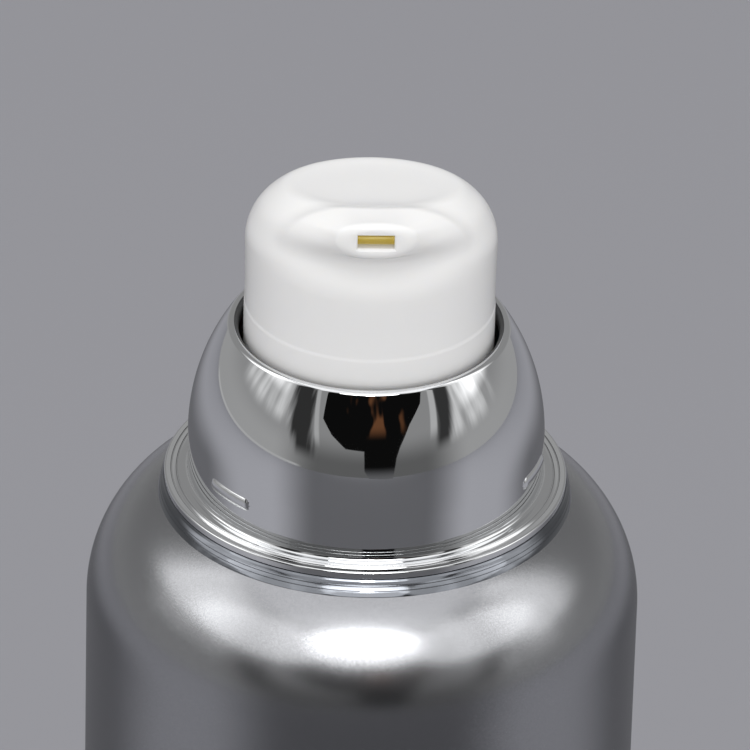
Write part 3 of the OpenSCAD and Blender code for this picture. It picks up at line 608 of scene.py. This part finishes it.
def button_rows(form, around):
    """Rows of points: the skirt's outside, the top, then the hollow inside back to its middle."""
    even = np.linspace(0, 2 * math.pi, around, endpoint=False)
    turns = even - math.radians(28) * np.sin(even)
    flat = np.stack([np.sin(turns), -np.cos(turns), np.zeros(around)], axis=-1)
    foot = BUTTON_LOW.z
    edge = 0.15 * MM
    rows = []

    def ring(radius, height):
        rows.append(flat * radius + np.array([0.0, 0.0, height]))

    def cast(starts, rise):
        ways = math.cos(rise) * flat + np.array([0.0, 0.0, math.sin(rise)])
        rows.append(starts + reach_along(ways, starts, form)[:, None] * ways)

    ring(form.radius - edge, foot)
    for k in range(1, 7):
        turn = math.radians(90 * k / 6)
        ring(form.radius - edge + edge * math.sin(turn), foot + edge - edge * math.cos(turn))
    # level rays up to a line that climbs towards the nozzle, to catch the brow's underside
    middle = form.nozzle - 3.7 * MM
    climb = 2.95 * MM
    level = (middle + climb * np.cos(turns))[:, None] * np.array([0.0, 0.0, 1.0])
    step_low = form.step_height - form.step_soft
    step_high = form.step_height + form.step_soft
    for height in (*np.linspace(foot + 2 * edge, step_low, 6),
                   *np.linspace(step_low, step_high, 16)[1:]):
        cast(np.tile([0.0, 0.0, height], (around, 1)), 0.0)
    bottom = np.tile([0.0, 0.0, step_high], (around, 1))
    for share in (*np.linspace(0, 0.5, 8)[1:], *np.linspace(0.5, 1, 56)[1:]):
        cast(bottom + share * (level - bottom), 0.0)
    # rising rays, whose start sinks as they rise
    sunk = np.array([0.0, 0.0, form.disc_top - 3.2 * MM])
    for share in np.linspace(0, 1, 120, endpoint=False)[1:]:
        slide = min(1.0, 1.5 * share)
        cast(level + slide * (sunk - level), math.radians(90 * share))
    outer_rows = len(rows)
    inner = form.radius - form.skirt_wall
    attic = form.radius - form.attic_wall
    ball = roof_ball(form)
    for share in (0.12, 0.4, 0.7, 1.0):
        across = flat * attic * share
        across[:, 2] = ball[2] - np.sqrt(form.roof_radius ** 2 - across[:, 0] ** 2
                                         - (across[:, 1] - ball[1]) ** 2)
        rows.append(across)
    ring(attic, form.disc_top)
    ring(inner, form.disc_top)
    ring(inner, foot)
    return rows, outer_rows, sunk


def button_mesh(form, around):
    """Points and faces of the hollow button, before its slot is cut."""
    rows, outer_rows, sunk = button_rows(form, around)
    up = np.array([[0.0, 0.0, 1.0]])
    crown = sunk + reach_along(up, sunk, form)[0] * up[0]
    ball = roof_ball(form)
    ceiling = np.array([0.0, 0.0, ball[2] - math.sqrt(form.roof_radius ** 2 - ball[1] ** 2)])
    points = list(np.concatenate(rows)) + [crown, ceiling]
    crown_index = len(points) - 2
    ceiling_index = len(points) - 1
    last, first = (outer_rows - 1) * around, outer_rows * around
    faces = []
    for row in range(len(rows)):
        if row != outer_rows - 1:
            faces += band(row * around, (row + 1) % len(rows) * around, around)
    faces += [(last + i, last + (i + 1) % around, crown_index) for i in range(around)]
    faces += [(first + i, first + (i + 1) % around, ceiling_index) for i in range(around)]
    return points, faces


def tapered_bar(name, sections):
    """A closed bar through rectangles, each given as (y, z, half_width, half_height)."""
    points = []
    for y, z, w, h in sections:
        points += [(-w, y, z - h), (w, y, z - h), (w, y, z + h), (-w, y, z + h)]
    return mesh_object(name, points, tube(len(sections), 4), None, None)


def cut_out(obj, cutter):
    """Cuts the cutter out of the object and deletes the cutter."""
    cut = obj.modifiers.new("cut", "BOOLEAN")
    cut.operation = "DIFFERENCE"
    cut.solver = "EXACT"
    cut.object = cutter
    bpy.context.view_layer.update()
    shown = obj.evaluated_get(bpy.context.evaluated_depsgraph_get())
    result = bpy.data.meshes.new_from_object(shown)
    obj.modifiers.remove(cut)
    old = obj.data
    obj.data = result
    bpy.data.meshes.remove(old)
    bpy.data.objects.remove(cutter)


class BOTTLE_OT_button(bpy.types.Operator):
    """Adds the white press button with its finger dish and outlet slot"""
    bl_idname = "bottle.button"
    bl_label = "Press Button"

    def execute(self, context):
        form = context.scene.bottle_button
        white = white_gloss(context.scene.bottle_finishes)
        points, faces = button_mesh(form, BUTTON_SIDES)
        button = mesh_object("press_button", points, faces, None, white)
        w, h = form.slot_width / 2, form.slot_height / 2
        face_y = -form.brow_reach
        seat_y = face_y + form.insert_front
        flare, past = 0.03 * MM, 1.0 * MM
        cut_out(button, tapered_bar("slot_cutter", [
            (face_y - past, form.nozzle, w + flare + past, h + flare + past),
            (face_y + flare, form.nozzle, w, h),
            (seat_y + 0.2 * MM, form.nozzle, w, h)]))
        room, run = form.insert_wall + 0.02 * MM, 5.0 * MM
        pocket = tapered_bar("pocket_cutter", [(y, 0.0, w + room, h + room) for y in (0.0, run)])
        pocket.matrix_world = (Matrix.Translation((0, seat_y, form.nozzle))
                               @ Matrix.Rotation(-form.insert_tilt, 4, "X"))
        cut_out(button, pocket)
        mesh = button.data
        if len(mesh.polygons) < BUTTON_SIDES:
            raise RuntimeError("the button's slot could not be cut")
        places = np.array([vertex.co for vertex in mesh.vertices], dtype=float)
        slopes = slope_of(places, form)
        on_form = np.abs(button_gap(places, form)) < SKIN
        corners = []
        for face in mesh.polygons:
            normal = np.array(face.normal)
            for v in face.vertices:
                smooth = on_form[v] and slopes[v] @ normal > SAME_WAY
                corners.append(tuple(slopes[v] if smooth else normal))
        set_normals(button, corners)
        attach(button, "button")
        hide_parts("button")
        return {"FINISHED"}


# Spring

class BOTTLE_OT_spring(bpy.types.Operator):
    """Adds the wound return spring"""
    bl_idname = "bottle.spring"
    bl_label = "Return Spring"

    def execute(self, context):
        wire = 0.4 * MM
        curls, rings, sides = 5, 48, 16
        end_flat = 0.055
        mean = SPRING_HIGH.x - wire
        low, high = SPRING_LOW.z + wire, SPRING_HIGH.z - wire
        steps = curls * rings
        points = []
        for i in range(steps + 1):
            share = i / steps
            turn = 2 * math.pi * i / rings
            out = Vector((math.cos(turn), math.sin(turn), 0))
            lift = share - end_flat * math.sin(2 * math.pi * share)
            centre = mean * out + Vector((0, 0, low + (high - low) * lift))
            for k in range(sides):
                w = 2 * math.pi * k / sides
                points.append(centre + wire * (math.cos(w) * out + math.sin(w) * Vector((0, 0, 1))))
        spring = mesh_object("wound_spring", points, tube(steps + 1, sides), "bottle",
                             drawn_steel(context.scene.bottle_finishes), ("return_spring",))
        spring.data.polygons.foreach_set("use_smooth", [True] * len(spring.data.polygons))
        spring.data.set_sharp_from_angle(angle=math.radians(50))
        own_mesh(spring)
        return {"FINISHED"}


# Shader nodes

def feed(tree, socket, value):
    """Links an output to a socket, or sets the socket to a constant."""
    if isinstance(value, bpy.types.NodeSocket):
        tree.links.new(value, socket)
    else:
        socket.default_value = value


def node(tree, kind, inputs=(), **settings):
    """A new shader node with its settings and its inputs, which go by name or by place."""
    made = tree.nodes.new("ShaderNode" + kind)
    for label, value in settings.items():
        setattr(made, label, value)
    for label, value in dict(inputs).items():
        feed(tree, made.inputs[label], value)
    return made


def calc(tree, operation, *values):
    """A math node with links or numbers; returns its output."""
    return node(tree, "Math", enumerate(values), operation=operation).outputs[0]


def product(tree, first, second):
    """Two values multiplied."""
    return calc(tree, "MULTIPLY", first, second)


def vector(tree, operation, inputs):
    """A vector math node; returns its output."""
    return node(tree, "VectorMath", inputs, operation=operation).outputs[0]


def object_place(tree):
    """A point's place in the coordinates of its object."""
    return node(tree, "TexCoord").outputs["Object"]


def noise(tree, scale, detail, stretch=None):
    """Noise on object coordinates; scale in cells per metre; returns the value's output."""
    place = object_place(tree)
    if stretch:
        place = vector(tree, "MULTIPLY", {0: place, 1: stretch})
    return node(tree, "TexNoise",
                {"Vector": place, "Scale": scale, "Detail": detail}).outputs["Fac"]


def soft_step(tree, value, low, high):
    """0 at low and 1 at high, smooth between; runs down where low is above high."""
    return node(tree, "MapRange", {"Value": value, "From Min": low, "From Max": high},
                interpolation_type="SMOOTHSTEP").outputs["Result"]


def between(tree, value, low, high, soft):
    """1 between low and high, with soft ends."""
    return product(tree, soft_step(tree, value, low - soft / 2, low + soft / 2),
                   soft_step(tree, value, high + soft / 2, high - soft / 2))


def mixed(tree, share, first, second):
    """A colour that runs from the first to the second as the share rises."""
    first, second = (colour if isinstance(colour, bpy.types.NodeSocket) else (*colour, 1.0)
                     for colour in (first, second))
    return node(tree, "Mix", {"Factor": share, "A": first, "B": second},
                data_type="RGBA").outputs["Result"]


# Node groups that several finishes share

def group(name, inputs, outputs):
    """A new node group with float inputs; returns it, its inputs and its outputs."""
    tree = bpy.data.node_groups.new(name, "ShaderNodeTree")
    for label, value in inputs.items():
        socket = tree.interface.new_socket(name=label, in_out="INPUT",
                                           socket_type="NodeSocketFloat")
        socket.default_value = value
    for label in outputs:
        kind = "NodeSocketVector" if label == "Normal" else "NodeSocketFloat"
        tree.interface.new_socket(name=label, in_out="OUTPUT", socket_type=kind)
    return tree, tree.nodes.new("NodeGroupInput").outputs, tree.nodes.new("NodeGroupOutput").inputs


def place_group(tree, build, **values):
    """Places a shared node group, which is built once; returns its outputs."""
    name = build.__name__.replace("_", " ").title()
    return node(tree, "Group", values,
                node_tree=bpy.data.node_groups.get(name) or build(name)).outputs


def moulded_grain(name):
    """Fine unevenness of moulded plastic: a height and a roughness."""
    tree, given, wanted = group(name, {"Scale": 4000.0, "Roughness": 0.3, "Spread": 0.05},
                                ("Height", "Roughness"))
    feed(tree, wanted["Height"], noise(tree, given["Scale"], 4.0))
    centred = calc(tree, "SUBTRACT", noise(tree, 90.0, 2.0), 0.5)
    spread = product(tree, centred, given["Spread"])
    feed(tree, wanted["Roughness"], calc(tree, "ADD", given["Roughness"], spread))
    return tree


def handling_film(name):
    """Faint film from handling, which makes bright surfaces a little duller in soft patches."""
    tree, given, wanted = group(name, {"Roughness": 0.05, "Film": 0.06, "Size": 60.0},
                                ("Roughness",))
    patches = node(tree, "MapRange", {"Value": noise(tree, given["Size"], 5.0),
                                      "From Min": 0.45, "From Max": 0.75})
    added = product(tree, patches.outputs["Result"], given["Film"])
    feed(tree, wanted["Roughness"], calc(tree, "ADD", given["Roughness"], added))
    return tree


def metal_flake(name):
    """Metal flake in lacquer: a normal that differs from flake to flake, and a shade."""
    tree, given, wanted = group(name, {"Scale": 12000.0, "Tilt": 0.1}, ("Normal", "Shade"))
    flakes = node(tree, "TexVoronoi", {"Vector": object_place(tree), "Scale": given["Scale"]})
    centred = vector(tree, "SUBTRACT", {0: flakes.outputs["Color"], 1: (0.5, 0.5, 0.5)})
    tilted = vector(tree, "SCALE", {0: centred, "Scale": given["Tilt"]})
    summed = vector(tree, "ADD", {0: node(tree, "NewGeometry").outputs["Normal"], 1: tilted})
    feed(tree, wanted["Normal"], vector(tree, "NORMALIZE", {0: summed}))
    split = node(tree, "SeparateXYZ", {0: flakes.outputs["Color"]})
    feed(tree, wanted["Shade"], split.outputs["X"])
    return tree


def bearings(name):
    """Where a point of the studio lies from the collar: turn and rise in degrees."""
    tree, given, wanted = group(name, {"Eye Height": EYE_HEIGHT}, ("Turn", "Rise"))
    x, y, z = node(tree, "SeparateXYZ", {0: object_place(tree)}).outputs
    turn = calc(tree, "ARCTAN2", x, product(tree, y, -1.0))
    away = calc(tree, "SQRT", calc(tree, "ADD", product(tree, x, x), product(tree, y, y)))
    rise = calc(tree, "ARCTAN2", calc(tree, "SUBTRACT", z, given["Eye Height"]), away)
    feed(tree, wanted["Turn"], calc(tree, "DEGREES", turn))
    feed(tree, wanted["Rise"], calc(tree, "DEGREES", rise))
    return tree


# Finishes

def finish(name, colour, **sockets):
    """A new material with a Principled shader whose constant sockets are set directly."""
    material = bpy.data.materials.new(name)
    material.use_nodes = True
    shader = material.node_tree.nodes["Principled BSDF"]
    shader.inputs["Base Color"].default_value = (*colour, 1.0)
    for label, value in sockets.items():
        shader.inputs[label.replace("_", " ")].default_value = value
    material.diffuse_color = (*colour, 1.0)
    return material, material.node_tree, shader.inputs


def scaled(colour, share):
    """A colour made lighter or darker."""
    return tuple(min(1.0, channel * share) for channel in colour)


def bump(tree, shader, height, strength, distance):
    """Feeds a height to the shader's normal."""
    made = node(tree, "Bump", {"Height": height, "Strength": strength, "Distance": distance})
    feed(tree, shader["Normal"], made.outputs["Normal"])


def metal(name, colour, roughness, film, size, **sockets):
    """A metallic finish with patches of faint film of the given size in cells per metre."""
    material, tree, shader = finish(name, colour, Metallic=1.0, Roughness=roughness, **sockets)
    patches = place_group(tree, handling_film, Roughness=roughness, Film=film, Size=size)
    feed(tree, shader["Roughness"], patches["Roughness"])
    return material, tree, shader


def moulded(name, colour, roughness, scale, spread, **sockets):
    """A plastic finish with moulded grain; also returns the grain's height."""
    material, tree, shader = finish(name, colour, Roughness=roughness, **sockets)
    grain = place_group(tree, moulded_grain, Scale=scale, Roughness=roughness, Spread=spread)
    feed(tree, shader["Roughness"], grain["Roughness"])
    return material, tree, shader, grain["Height"]


def silver_lacquer(tints):
    """Satin silver lacquer with fine flake under a clear coat."""
    silver = tints.silver
    material, tree, shader = metal("silver_lacquer", silver, 0.23, 0.04, 45.0, Coat_Weight=0.35,
                                   Coat_Roughness=0.16, Coat_IOR=1.5)
    flake = place_group(tree, metal_flake, Scale=20000.0, Tilt=0.03)
    feed(tree, shader["Normal"], flake["Normal"])
    feed(tree, shader["Base Color"],
         mixed(tree, flake["Shade"], scaled(silver, 0.92), scaled(silver, 1.08)))
    return material


def polished_land(tints):
    """The land under the collar: the same silver, polished and glassy, with turned lines."""
    material, tree, shader = metal("polished_land", tints.land, 0.08, 0.06, 220.0,
                                   Coat_Weight=0.6, Coat_Roughness=0.03)
    bump(tree, shader, noise(tree, 1.0, 2.0, stretch=(60.0, 60.0, 9000.0)), 0.25, 0.02 * MM)
    return material


def bright_metal(tints):
    """Mirror-bright metallised surface with faint waves and film."""
    material, tree, shader = metal("bright_metal", tints.mirror, 0.018, 0.05, 70.0)
    bump(tree, shader, noise(tree, 55.0, 1.0), 0.12, 0.4 * MM)
    return material


def dull_inside_painted_shade(tints):
    """The collar's inside: unpolished and rough, and painted dark as the shade in the gap round the
    button.
    """
    return metal("collar_inside", scaled(tints.mirror, 0.16), 0.33, 0.1, 150.0)[0]


def drawn_steel(tints):
    """Drawn stainless wire."""
    material, tree, shader = metal("spring_steel", tints.steel, 0.2, 0.1, 300.0)
    bump(tree, shader, noise(tree, 5000.0, 2.0), 0.2, 0.01 * MM)
    return material


def polished_steel(tints):
    """Polished inlet ball."""
    return metal("ball_steel", tints.steel, 0.07, 0.05, 400.0)[0]


def white_gloss(tints):
    """Polished white plastic that light enters a little."""
    material, tree, shader, height = moulded(
        "white_gloss", tints.white, 0.2, 900.0, 0.06, Subsurface_Weight=0.35,
        Subsurface_Scale=1.2 * MM, Subsurface_Radius=(1.0, 0.95, 0.85), Specular_IOR_Level=0.3)
    bump(tree, shader, height, 0.05, 0.02 * MM)
    return material


def golden_plastic(tints, sill):
    """Golden yellow plastic of the nozzle insert, paler towards the slot's sill, with a faint
    painted glow for light through the button.
    """
    # The emission is painted light: the insert glows faintly, standing in for light that reaches it
    # through the thin white button.
    material, tree, shader, _ = moulded(
        "golden_plastic", tints.golden, 0.3, 3000.0, 0.1, Emission_Strength=0.12,
        Emission_Color=(*tints.golden, 1.0))
    above = node(tree, "SeparateXYZ", {0: object_place(tree)}).outputs["Z"]
    golden = soft_step(tree, above, sill - 0.15 * MM, sill + 0.13 * MM)
    uneven = calc(tree, "MULTIPLY_ADD", noise(tree, 700.0, 2.0), 0.1, 0.9)
    feed(tree, shader["Base Color"],
         mixed(tree, product(tree, golden, uneven), tints.pale_gold, tints.golden))
    return material


def plastic(name, colour, roughness, scale=2500.0, clear=0.0):
    """Moulded plastic with fine grain and uneven gloss."""
    material, tree, shader, height = moulded(name, colour, roughness, scale, 0.12,
                                             Subsurface_Weight=clear, Subsurface_Scale=1.0 * MM)
    feed(tree, shader["Base Color"],
         mixed(tree, noise(tree, 160.0, 3.0), scaled(colour, 0.95), scaled(colour, 1.04)))
    bump(tree, shader, height, 0.15, 0.03 * MM)
    return material


class BOTTLE_OT_inside(bpy.types.Operator):
    """Gives the pieces inside the bottle and the nozzle insert their finishes"""
    bl_idname = "bottle.inside"
    bl_label = "Inner Pieces"

    def execute(self, context):
        tints = context.scene.bottle_finishes
        form = context.scene.bottle_button
        clear = tints.natural
        natural = plastic("natural_plastic", clear, 0.38, clear=0.2)
        stem = plastic("stem_plastic", scaled(clear, 1.08), 0.3, clear=0.1)
        finishes = {
            "inner_bottle": plastic("inner_bottle_plastic", scaled(clear, 1.02), 0.32, clear=0.3),
            "follower_piston": plastic("follower_plastic", scaled(clear, 1.05), 0.45, clear=0.3),
            "neck_gasket": plastic("gasket_rubber", tints.gasket, 0.7, scale=5000.0),
            "pump_piston": plastic("seal_plastic", scaled(clear, 0.95), 0.5, clear=0.3),
            "inlet_ball": polished_steel(tints),
            "nozzle_insert": golden_plastic(tints, form.nozzle - form.slot_height / 2),
            "stem": stem,
            "piston_rod": stem,
        }
        for name in ("lock_ring", "pump_housing", "chaplet", "ball_cage", "button_core"):
            finishes[name] = natural
        for name, material in finishes.items():
            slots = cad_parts[name].data.materials
            slots.clear()
            slots.append(material)
        return {"FINISHED"}


# Studio, in metres: the height from which the collar sees the room, the floor and what it mirrors

EYE_HEIGHT = 0.1
FLOOR_REACH = 4.0
WALL_AWAY, WALL_FOOT, WALL_TOP = 1.0, 0.001, 1.75
FIGURE_AWAY = 0.9

# Outline of the dark figure as the collar mirrors it: (turn, rise) in degrees
FIGURE = ((-36, 46), (-35, 39), (-33, 22), (-25, 15), (-15, 9), (-3, 8.5), (-2.5, -2), (0.5, -6),
          (15, -6.5), (17.5, 4.5), (20, 9.5), (28, 20), (39, 28.5), (44, 36), (45, 46))

# Lamps: name, use, azimuth, elevation, distance, width, height, brightness of the surface
LAMPS = (
    ("top_box", "all", 0, 86, 0.9, 1.0, 0.8, 0.75),
    ("front_box", "mirrored", 0, 51, 0.92, 0.61, 0.29, 3.3),
    ("key_lamp", "all", 1, 46, 0.9, 0.09, 0.08, 24.0),
    ("left_fill", "fill", -98, 42, 0.95, 0.42, 0.34, 2.0),
    ("right_fill", "fill", 92, 38, 0.95, 0.4, 0.32, 1.6),
    ("front_fill", "fill", 0, 8, 1.1, 1.3, 0.8, 1.74),
    ("high_fill", "fill", 0, 80, 0.95, 0.8, 0.6, 1.1),
    ("shoulder_lamp", "shell", 0, 41, 0.9, 0.64, 0.44, 1.5),
    ("shoulder_left", "shell", -52, 39, 0.9, 0.95, 0.5, 0.95),
    ("shoulder_right", "shell", 54, 39, 0.9, 0.95, 0.5, 0.9),
)


def direction(azimuth, elevation):
    """Unit vector from the bottle; azimuth 0 points to -Y and grows towards +X."""
    level = math.cos(elevation)
    return Vector((math.sin(azimuth) * level, -math.cos(azimuth) * level, math.sin(elevation)))


def lamp(name, use, azimuth, elevation, distance, width, height, brightness):
    """A soft lamp that faces the collar; mirrored ones light nothing, fills aren't mirrored."""
    data = bpy.data.lights.new(name, "AREA")
    data.shape = "ELLIPSE" if use in ("mirrored", "shell") else "RECTANGLE"
    data.size, data.size_y = width, height
    data.energy = brightness * math.pi * width * height
    obj = bpy.data.objects.new(name, data)
    bpy.context.scene.collection.objects.link(obj)
    out = direction(math.radians(azimuth), math.radians(elevation))
    obj.location = Vector((0, 0, COLLAR_HIGH.z)) + distance * out
    obj.rotation_mode = "QUATERNION"
    obj.rotation_quaternion = out.to_track_quat("Z", "Y")
    obj.visible_camera = False
    obj.visible_diffuse = use != "mirrored"
    obj.visible_glossy = use != "fill"
    return obj


def painted(tree, level, mask, value):
    """A level that runs to another value where the mask is 1."""
    return calc(tree, "MULTIPLY_ADD", calc(tree, "SUBTRACT", value, level), mask, level)


def round_shade(tree, turn, rise):
    """Share of the floor's brightness that is mirrored: little in front, most at both sides."""
    aside = calc(tree, "ABSOLUTE", calc(tree, "SUBTRACT", turn, 2.0))
    behind = painted(tree, 0.44, soft_step(tree, rise, -28.0, -14.0), 1.1)
    shade = painted(tree, 0.38, soft_step(tree, aside, 33.0, 66.0), 1.15)
    return painted(tree, shade, soft_step(tree, aside, 85.0, 125.0), behind)


def plain_ground(tints):
    """Plain floor; mirrored, it is darker in front of the bottle and behind it."""
    material, tree, shader = finish("plain_ground", tints.ground, Roughness=0.9,
                                    Specular_IOR_Level=0.0)
    place = place_group(tree, bearings)
    shade = round_shade(tree, place["Turn"], place["Rise"])
    shade = painted(tree, 1.0, node(tree, "LightPath").outputs["Is Glossy Ray"], shade)
    feed(tree, shader["Base Color"], vector(tree, "SCALE", {0: tints.ground, "Scale": shade}))
    return material


def glowing(name):
    """A new material that only gives light."""
    material, tree, shader = finish(name, (0.0, 0.0, 0.0), Specular_IOR_Level=0.0,
                                    Emission_Strength=1.0)
    material.cycles.emission_sampling = "NONE"
    place = place_group(tree, bearings)
    return material, tree, shader, place["Turn"], place["Rise"]


def room_wall():
    """The room as the bright parts mirror it: grey, with pale and dark panels."""
    material, tree, shader, turn, rise = glowing("room_wall")
    lean = product(tree, calc(tree, "SUBTRACT", rise, 20.0), 0.3)
    right = calc(tree, "SUBTRACT", turn, lean)
    left = calc(tree, "SUBTRACT", product(tree, turn, -1.0), lean)
    streaks = noise(tree, 7.0, 3.0, stretch=(1.0, 1.0, 0.15))
    strength = soft_step(tree, streaks, 0.3, 0.7)
    pale = calc(tree, "MULTIPLY_ADD", strength, 0.4, 0.3)
    bright = calc(tree, "MULTIPLY_ADD", strength, 1.0, 1.5)
    wander = product(tree, calc(tree, "SUBTRACT", streaks, 0.5), 22.0)
    left_soft = calc(tree, "ADD", left, wander)
    right_soft = calc(tree, "ADD", right, product(tree, wander, 0.5))
    low_level = product(tree, round_shade(tree, turn, rise), 0.3)
    level = painted(tree, low_level, soft_step(tree, rise, 0.0, 16.0), 0.26)
    # side, first and last turn, softness of the ends, lowest rise, level
    panels = (
        (left, 57.0, 106.0, 22.0, 12.0, pale),
        (right, 58.0, 98.0, 16.0, 6.0, pale),
        (left, 70.0, 114.0, 28.0, 25.0, product(tree, bright, 0.75)),
        (right, 74.0, 104.0, 24.0, 17.0, product(tree, bright, 0.7)),
        (left_soft, 39.5, 56.0, 6.0, 2.0, 0.03),
        (right_soft, 49.0, 61.0, 6.0, 5.0, 0.035),
        (left, 35.5, 38.8, 1.4, 10.0, 0.4),
        (right, 43.5, 48.5, 1.6, 12.0, 0.45),
    )
    for side, low, high, soft, lowest, value in panels:
        upward = soft_step(tree, rise, lowest - 4.0, lowest + 4.0)
        mask = product(tree, between(tree, side, low, high, soft), upward)
        level = painted(tree, level, mask, value)
    edge = product(tree, between(tree, rise, -5.6, -4.6, 0.3),
                   between(tree, left, 52.0, 135.0, 6.0))
    feed(tree, shader["Emission Color"], painted(tree, level, edge, 0.42))
    return material


def dark_figure():
    """The dark shape that the collar mirrors in the middle, with faint warm patches."""
    material, tree, shader, turn, rise = glowing("dark_figure")
    patches = soft_step(tree, noise(tree, 3.4, 2.0, stretch=(1.8, 1.0, 0.7)), 0.53, 0.62)
    middle = product(tree, between(tree, rise, 18.0, 38.0, 8.0),
                     between(tree, turn, -16.0, 24.0, 10.0))
    dark = mixed(tree, product(tree, middle, patches), (0.004, 0.004, 0.004), (0.13, 0.055, 0.025))
    feed(tree, shader["Emission Color"],
         mixed(tree, soft_step(tree, rise, 0.5, -6.5), dark, (0.115, 0.115, 0.12)))
    return material


def only_mirrored(name, points, faces, material):
    """An object of the stage that shows in reflections alone."""
    obj = mesh_object(name, points, faces, None, material)
    for use in ("camera", "diffuse", "transmission", "volume_scatter", "shadow"):
        setattr(obj, "visible_" + use, False)


def studio_world(tints, fill):
    """Even grey room round the bottle, the same shade as the floor where it is seen."""
    world = bpy.data.worlds.new("room")
    bpy.context.scene.world = world
    world.use_nodes = True
    tree = world.node_tree
    colour = (*tints.ground, 1.0)
    lit = tree.nodes["Background"]
    lit.inputs["Color"].default_value = colour
    lit.inputs["Strength"].default_value = fill
    seen = node(tree, "Background", {"Color": colour})
    rays = node(tree, "LightPath").outputs
    straight = calc(tree, "MAXIMUM", rays["Is Camera Ray"], rays["Is Glossy Ray"])
    straight = calc(tree, "MAXIMUM", straight, rays["Is Transmission Ray"])
    room = node(tree, "MixShader", {"Fac": straight, 1: lit.outputs[0], 2: seen.outputs[0]})
    tree.links.new(room.outputs[0], tree.nodes["World Output"].inputs["Surface"])


class BOTTLE_OT_studio(bpy.types.Operator):
    """Adds the floor, the soft lamps and the camera"""
    bl_idname = "bottle.studio"
    bl_label = "Studio"

    def execute(self, context):
        scene = context.scene
        studio = scene.bottle_studio
        tints = scene.bottle_finishes
        scene.view_settings.view_transform = "Standard"
        studio_world(tints, studio.room_light)

        corners = [(x * FLOOR_REACH, y * FLOOR_REACH, 0)
                   for x, y in ((-1, -1), (1, -1), (1, 1), (-1, 1))]
        mesh_object("floor", corners, [(0, 1, 2, 3)], None, plain_ground(tints))

        lacquered = bpy.data.collections.new("lacquered")
        lacquered.objects.link(bpy.data.objects["shell"])
        for values in LAMPS:
            placed = lamp(*values)
            if values[1] == "shell":
                placed.light_linking.receiver_collection = lacquered

        corners = []
        for turn, rise in FIGURE:
            out = FIGURE_AWAY * direction(math.radians(turn), 0)
            corners.append((out.x, out.y, EYE_HEIGHT + FIGURE_AWAY * math.tan(math.radians(rise))))
        only_mirrored("dark_figure", corners, [tuple(range(len(corners)))], dark_figure())
        ring = [WALL_AWAY * direction(2 * math.pi * i / WALL_SIDES, 0) for i in range(WALL_SIDES)]
        corners = [(out.x, out.y, height) for height in (WALL_FOOT, WALL_TOP) for out in ring]
        only_mirrored("room_wall", corners, band(0, WALL_SIDES, WALL_SIDES), room_wall())

        data = bpy.data.cameras.new("camera")
        data.lens, data.sensor_width = studio.lens, 36.0
        data.clip_start, data.clip_end = 0.01, 20.0
        camera = bpy.data.objects.new("camera", data)
        scene.collection.objects.link(camera)
        scene.camera = camera
        place = (Matrix.Rotation(studio.azimuth, 4, "Z")
                 @ Matrix.Rotation(math.pi / 2 - studio.elevation, 4, "X")
                 @ Matrix.Translation((studio.aim_side, 0, studio.distance))
                 @ Matrix.Rotation(-studio.roll, 4, "Z"))
        place.translation.z += studio.aim_height
        camera.matrix_world = place
        return {"FINISHED"}


OPERATORS = (BOTTLE_OT_shell, BOTTLE_OT_foot, BOTTLE_OT_collar, BOTTLE_OT_button, BOTTLE_OT_spring,
             BOTTLE_OT_inside, BOTTLE_OT_studio)


class BOTTLE_PT_pieces(bpy.types.Panel):
    """Lists the bottle's pieces"""
    bl_label = "Airless Pump Bottle"
    bl_idname = "BOTTLE_PT_pieces"
    bl_space_type = "VIEW_3D"
    bl_region_type = "UI"
    bl_category = "Bottle"

    def draw(self, context):
        for operator in OPERATORS:
            self.layout.operator(operator.bl_idname)


SETTINGS = {"bottle_shell": ShellForm, "bottle_collar": CollarForm, "bottle_button": ButtonForm,
            "bottle_finishes": Finishes, "bottle_studio": Studio}


def register():
    for cls in (*SETTINGS.values(), *OPERATORS, BOTTLE_PT_pieces):
        bpy.utils.register_class(cls)
    for name, cls in SETTINGS.items():
        setattr(bpy.types.Scene, name, PointerProperty(type=cls))


def unregister():
    for name in SETTINGS:
        delattr(bpy.types.Scene, name)
    for cls in (BOTTLE_PT_pieces, *reversed(OPERATORS), *reversed(SETTINGS.values())):
        bpy.utils.unregister_class(cls)


def main():
    register()
    bpy.ops.bottle.shell()
    bpy.ops.bottle.foot()
    bpy.ops.bottle.collar()
    bpy.ops.bottle.button()
    bpy.ops.bottle.spring()
    bpy.ops.bottle.inside()
    bpy.ops.bottle.studio()


if __name__ == "__main__":
    main()
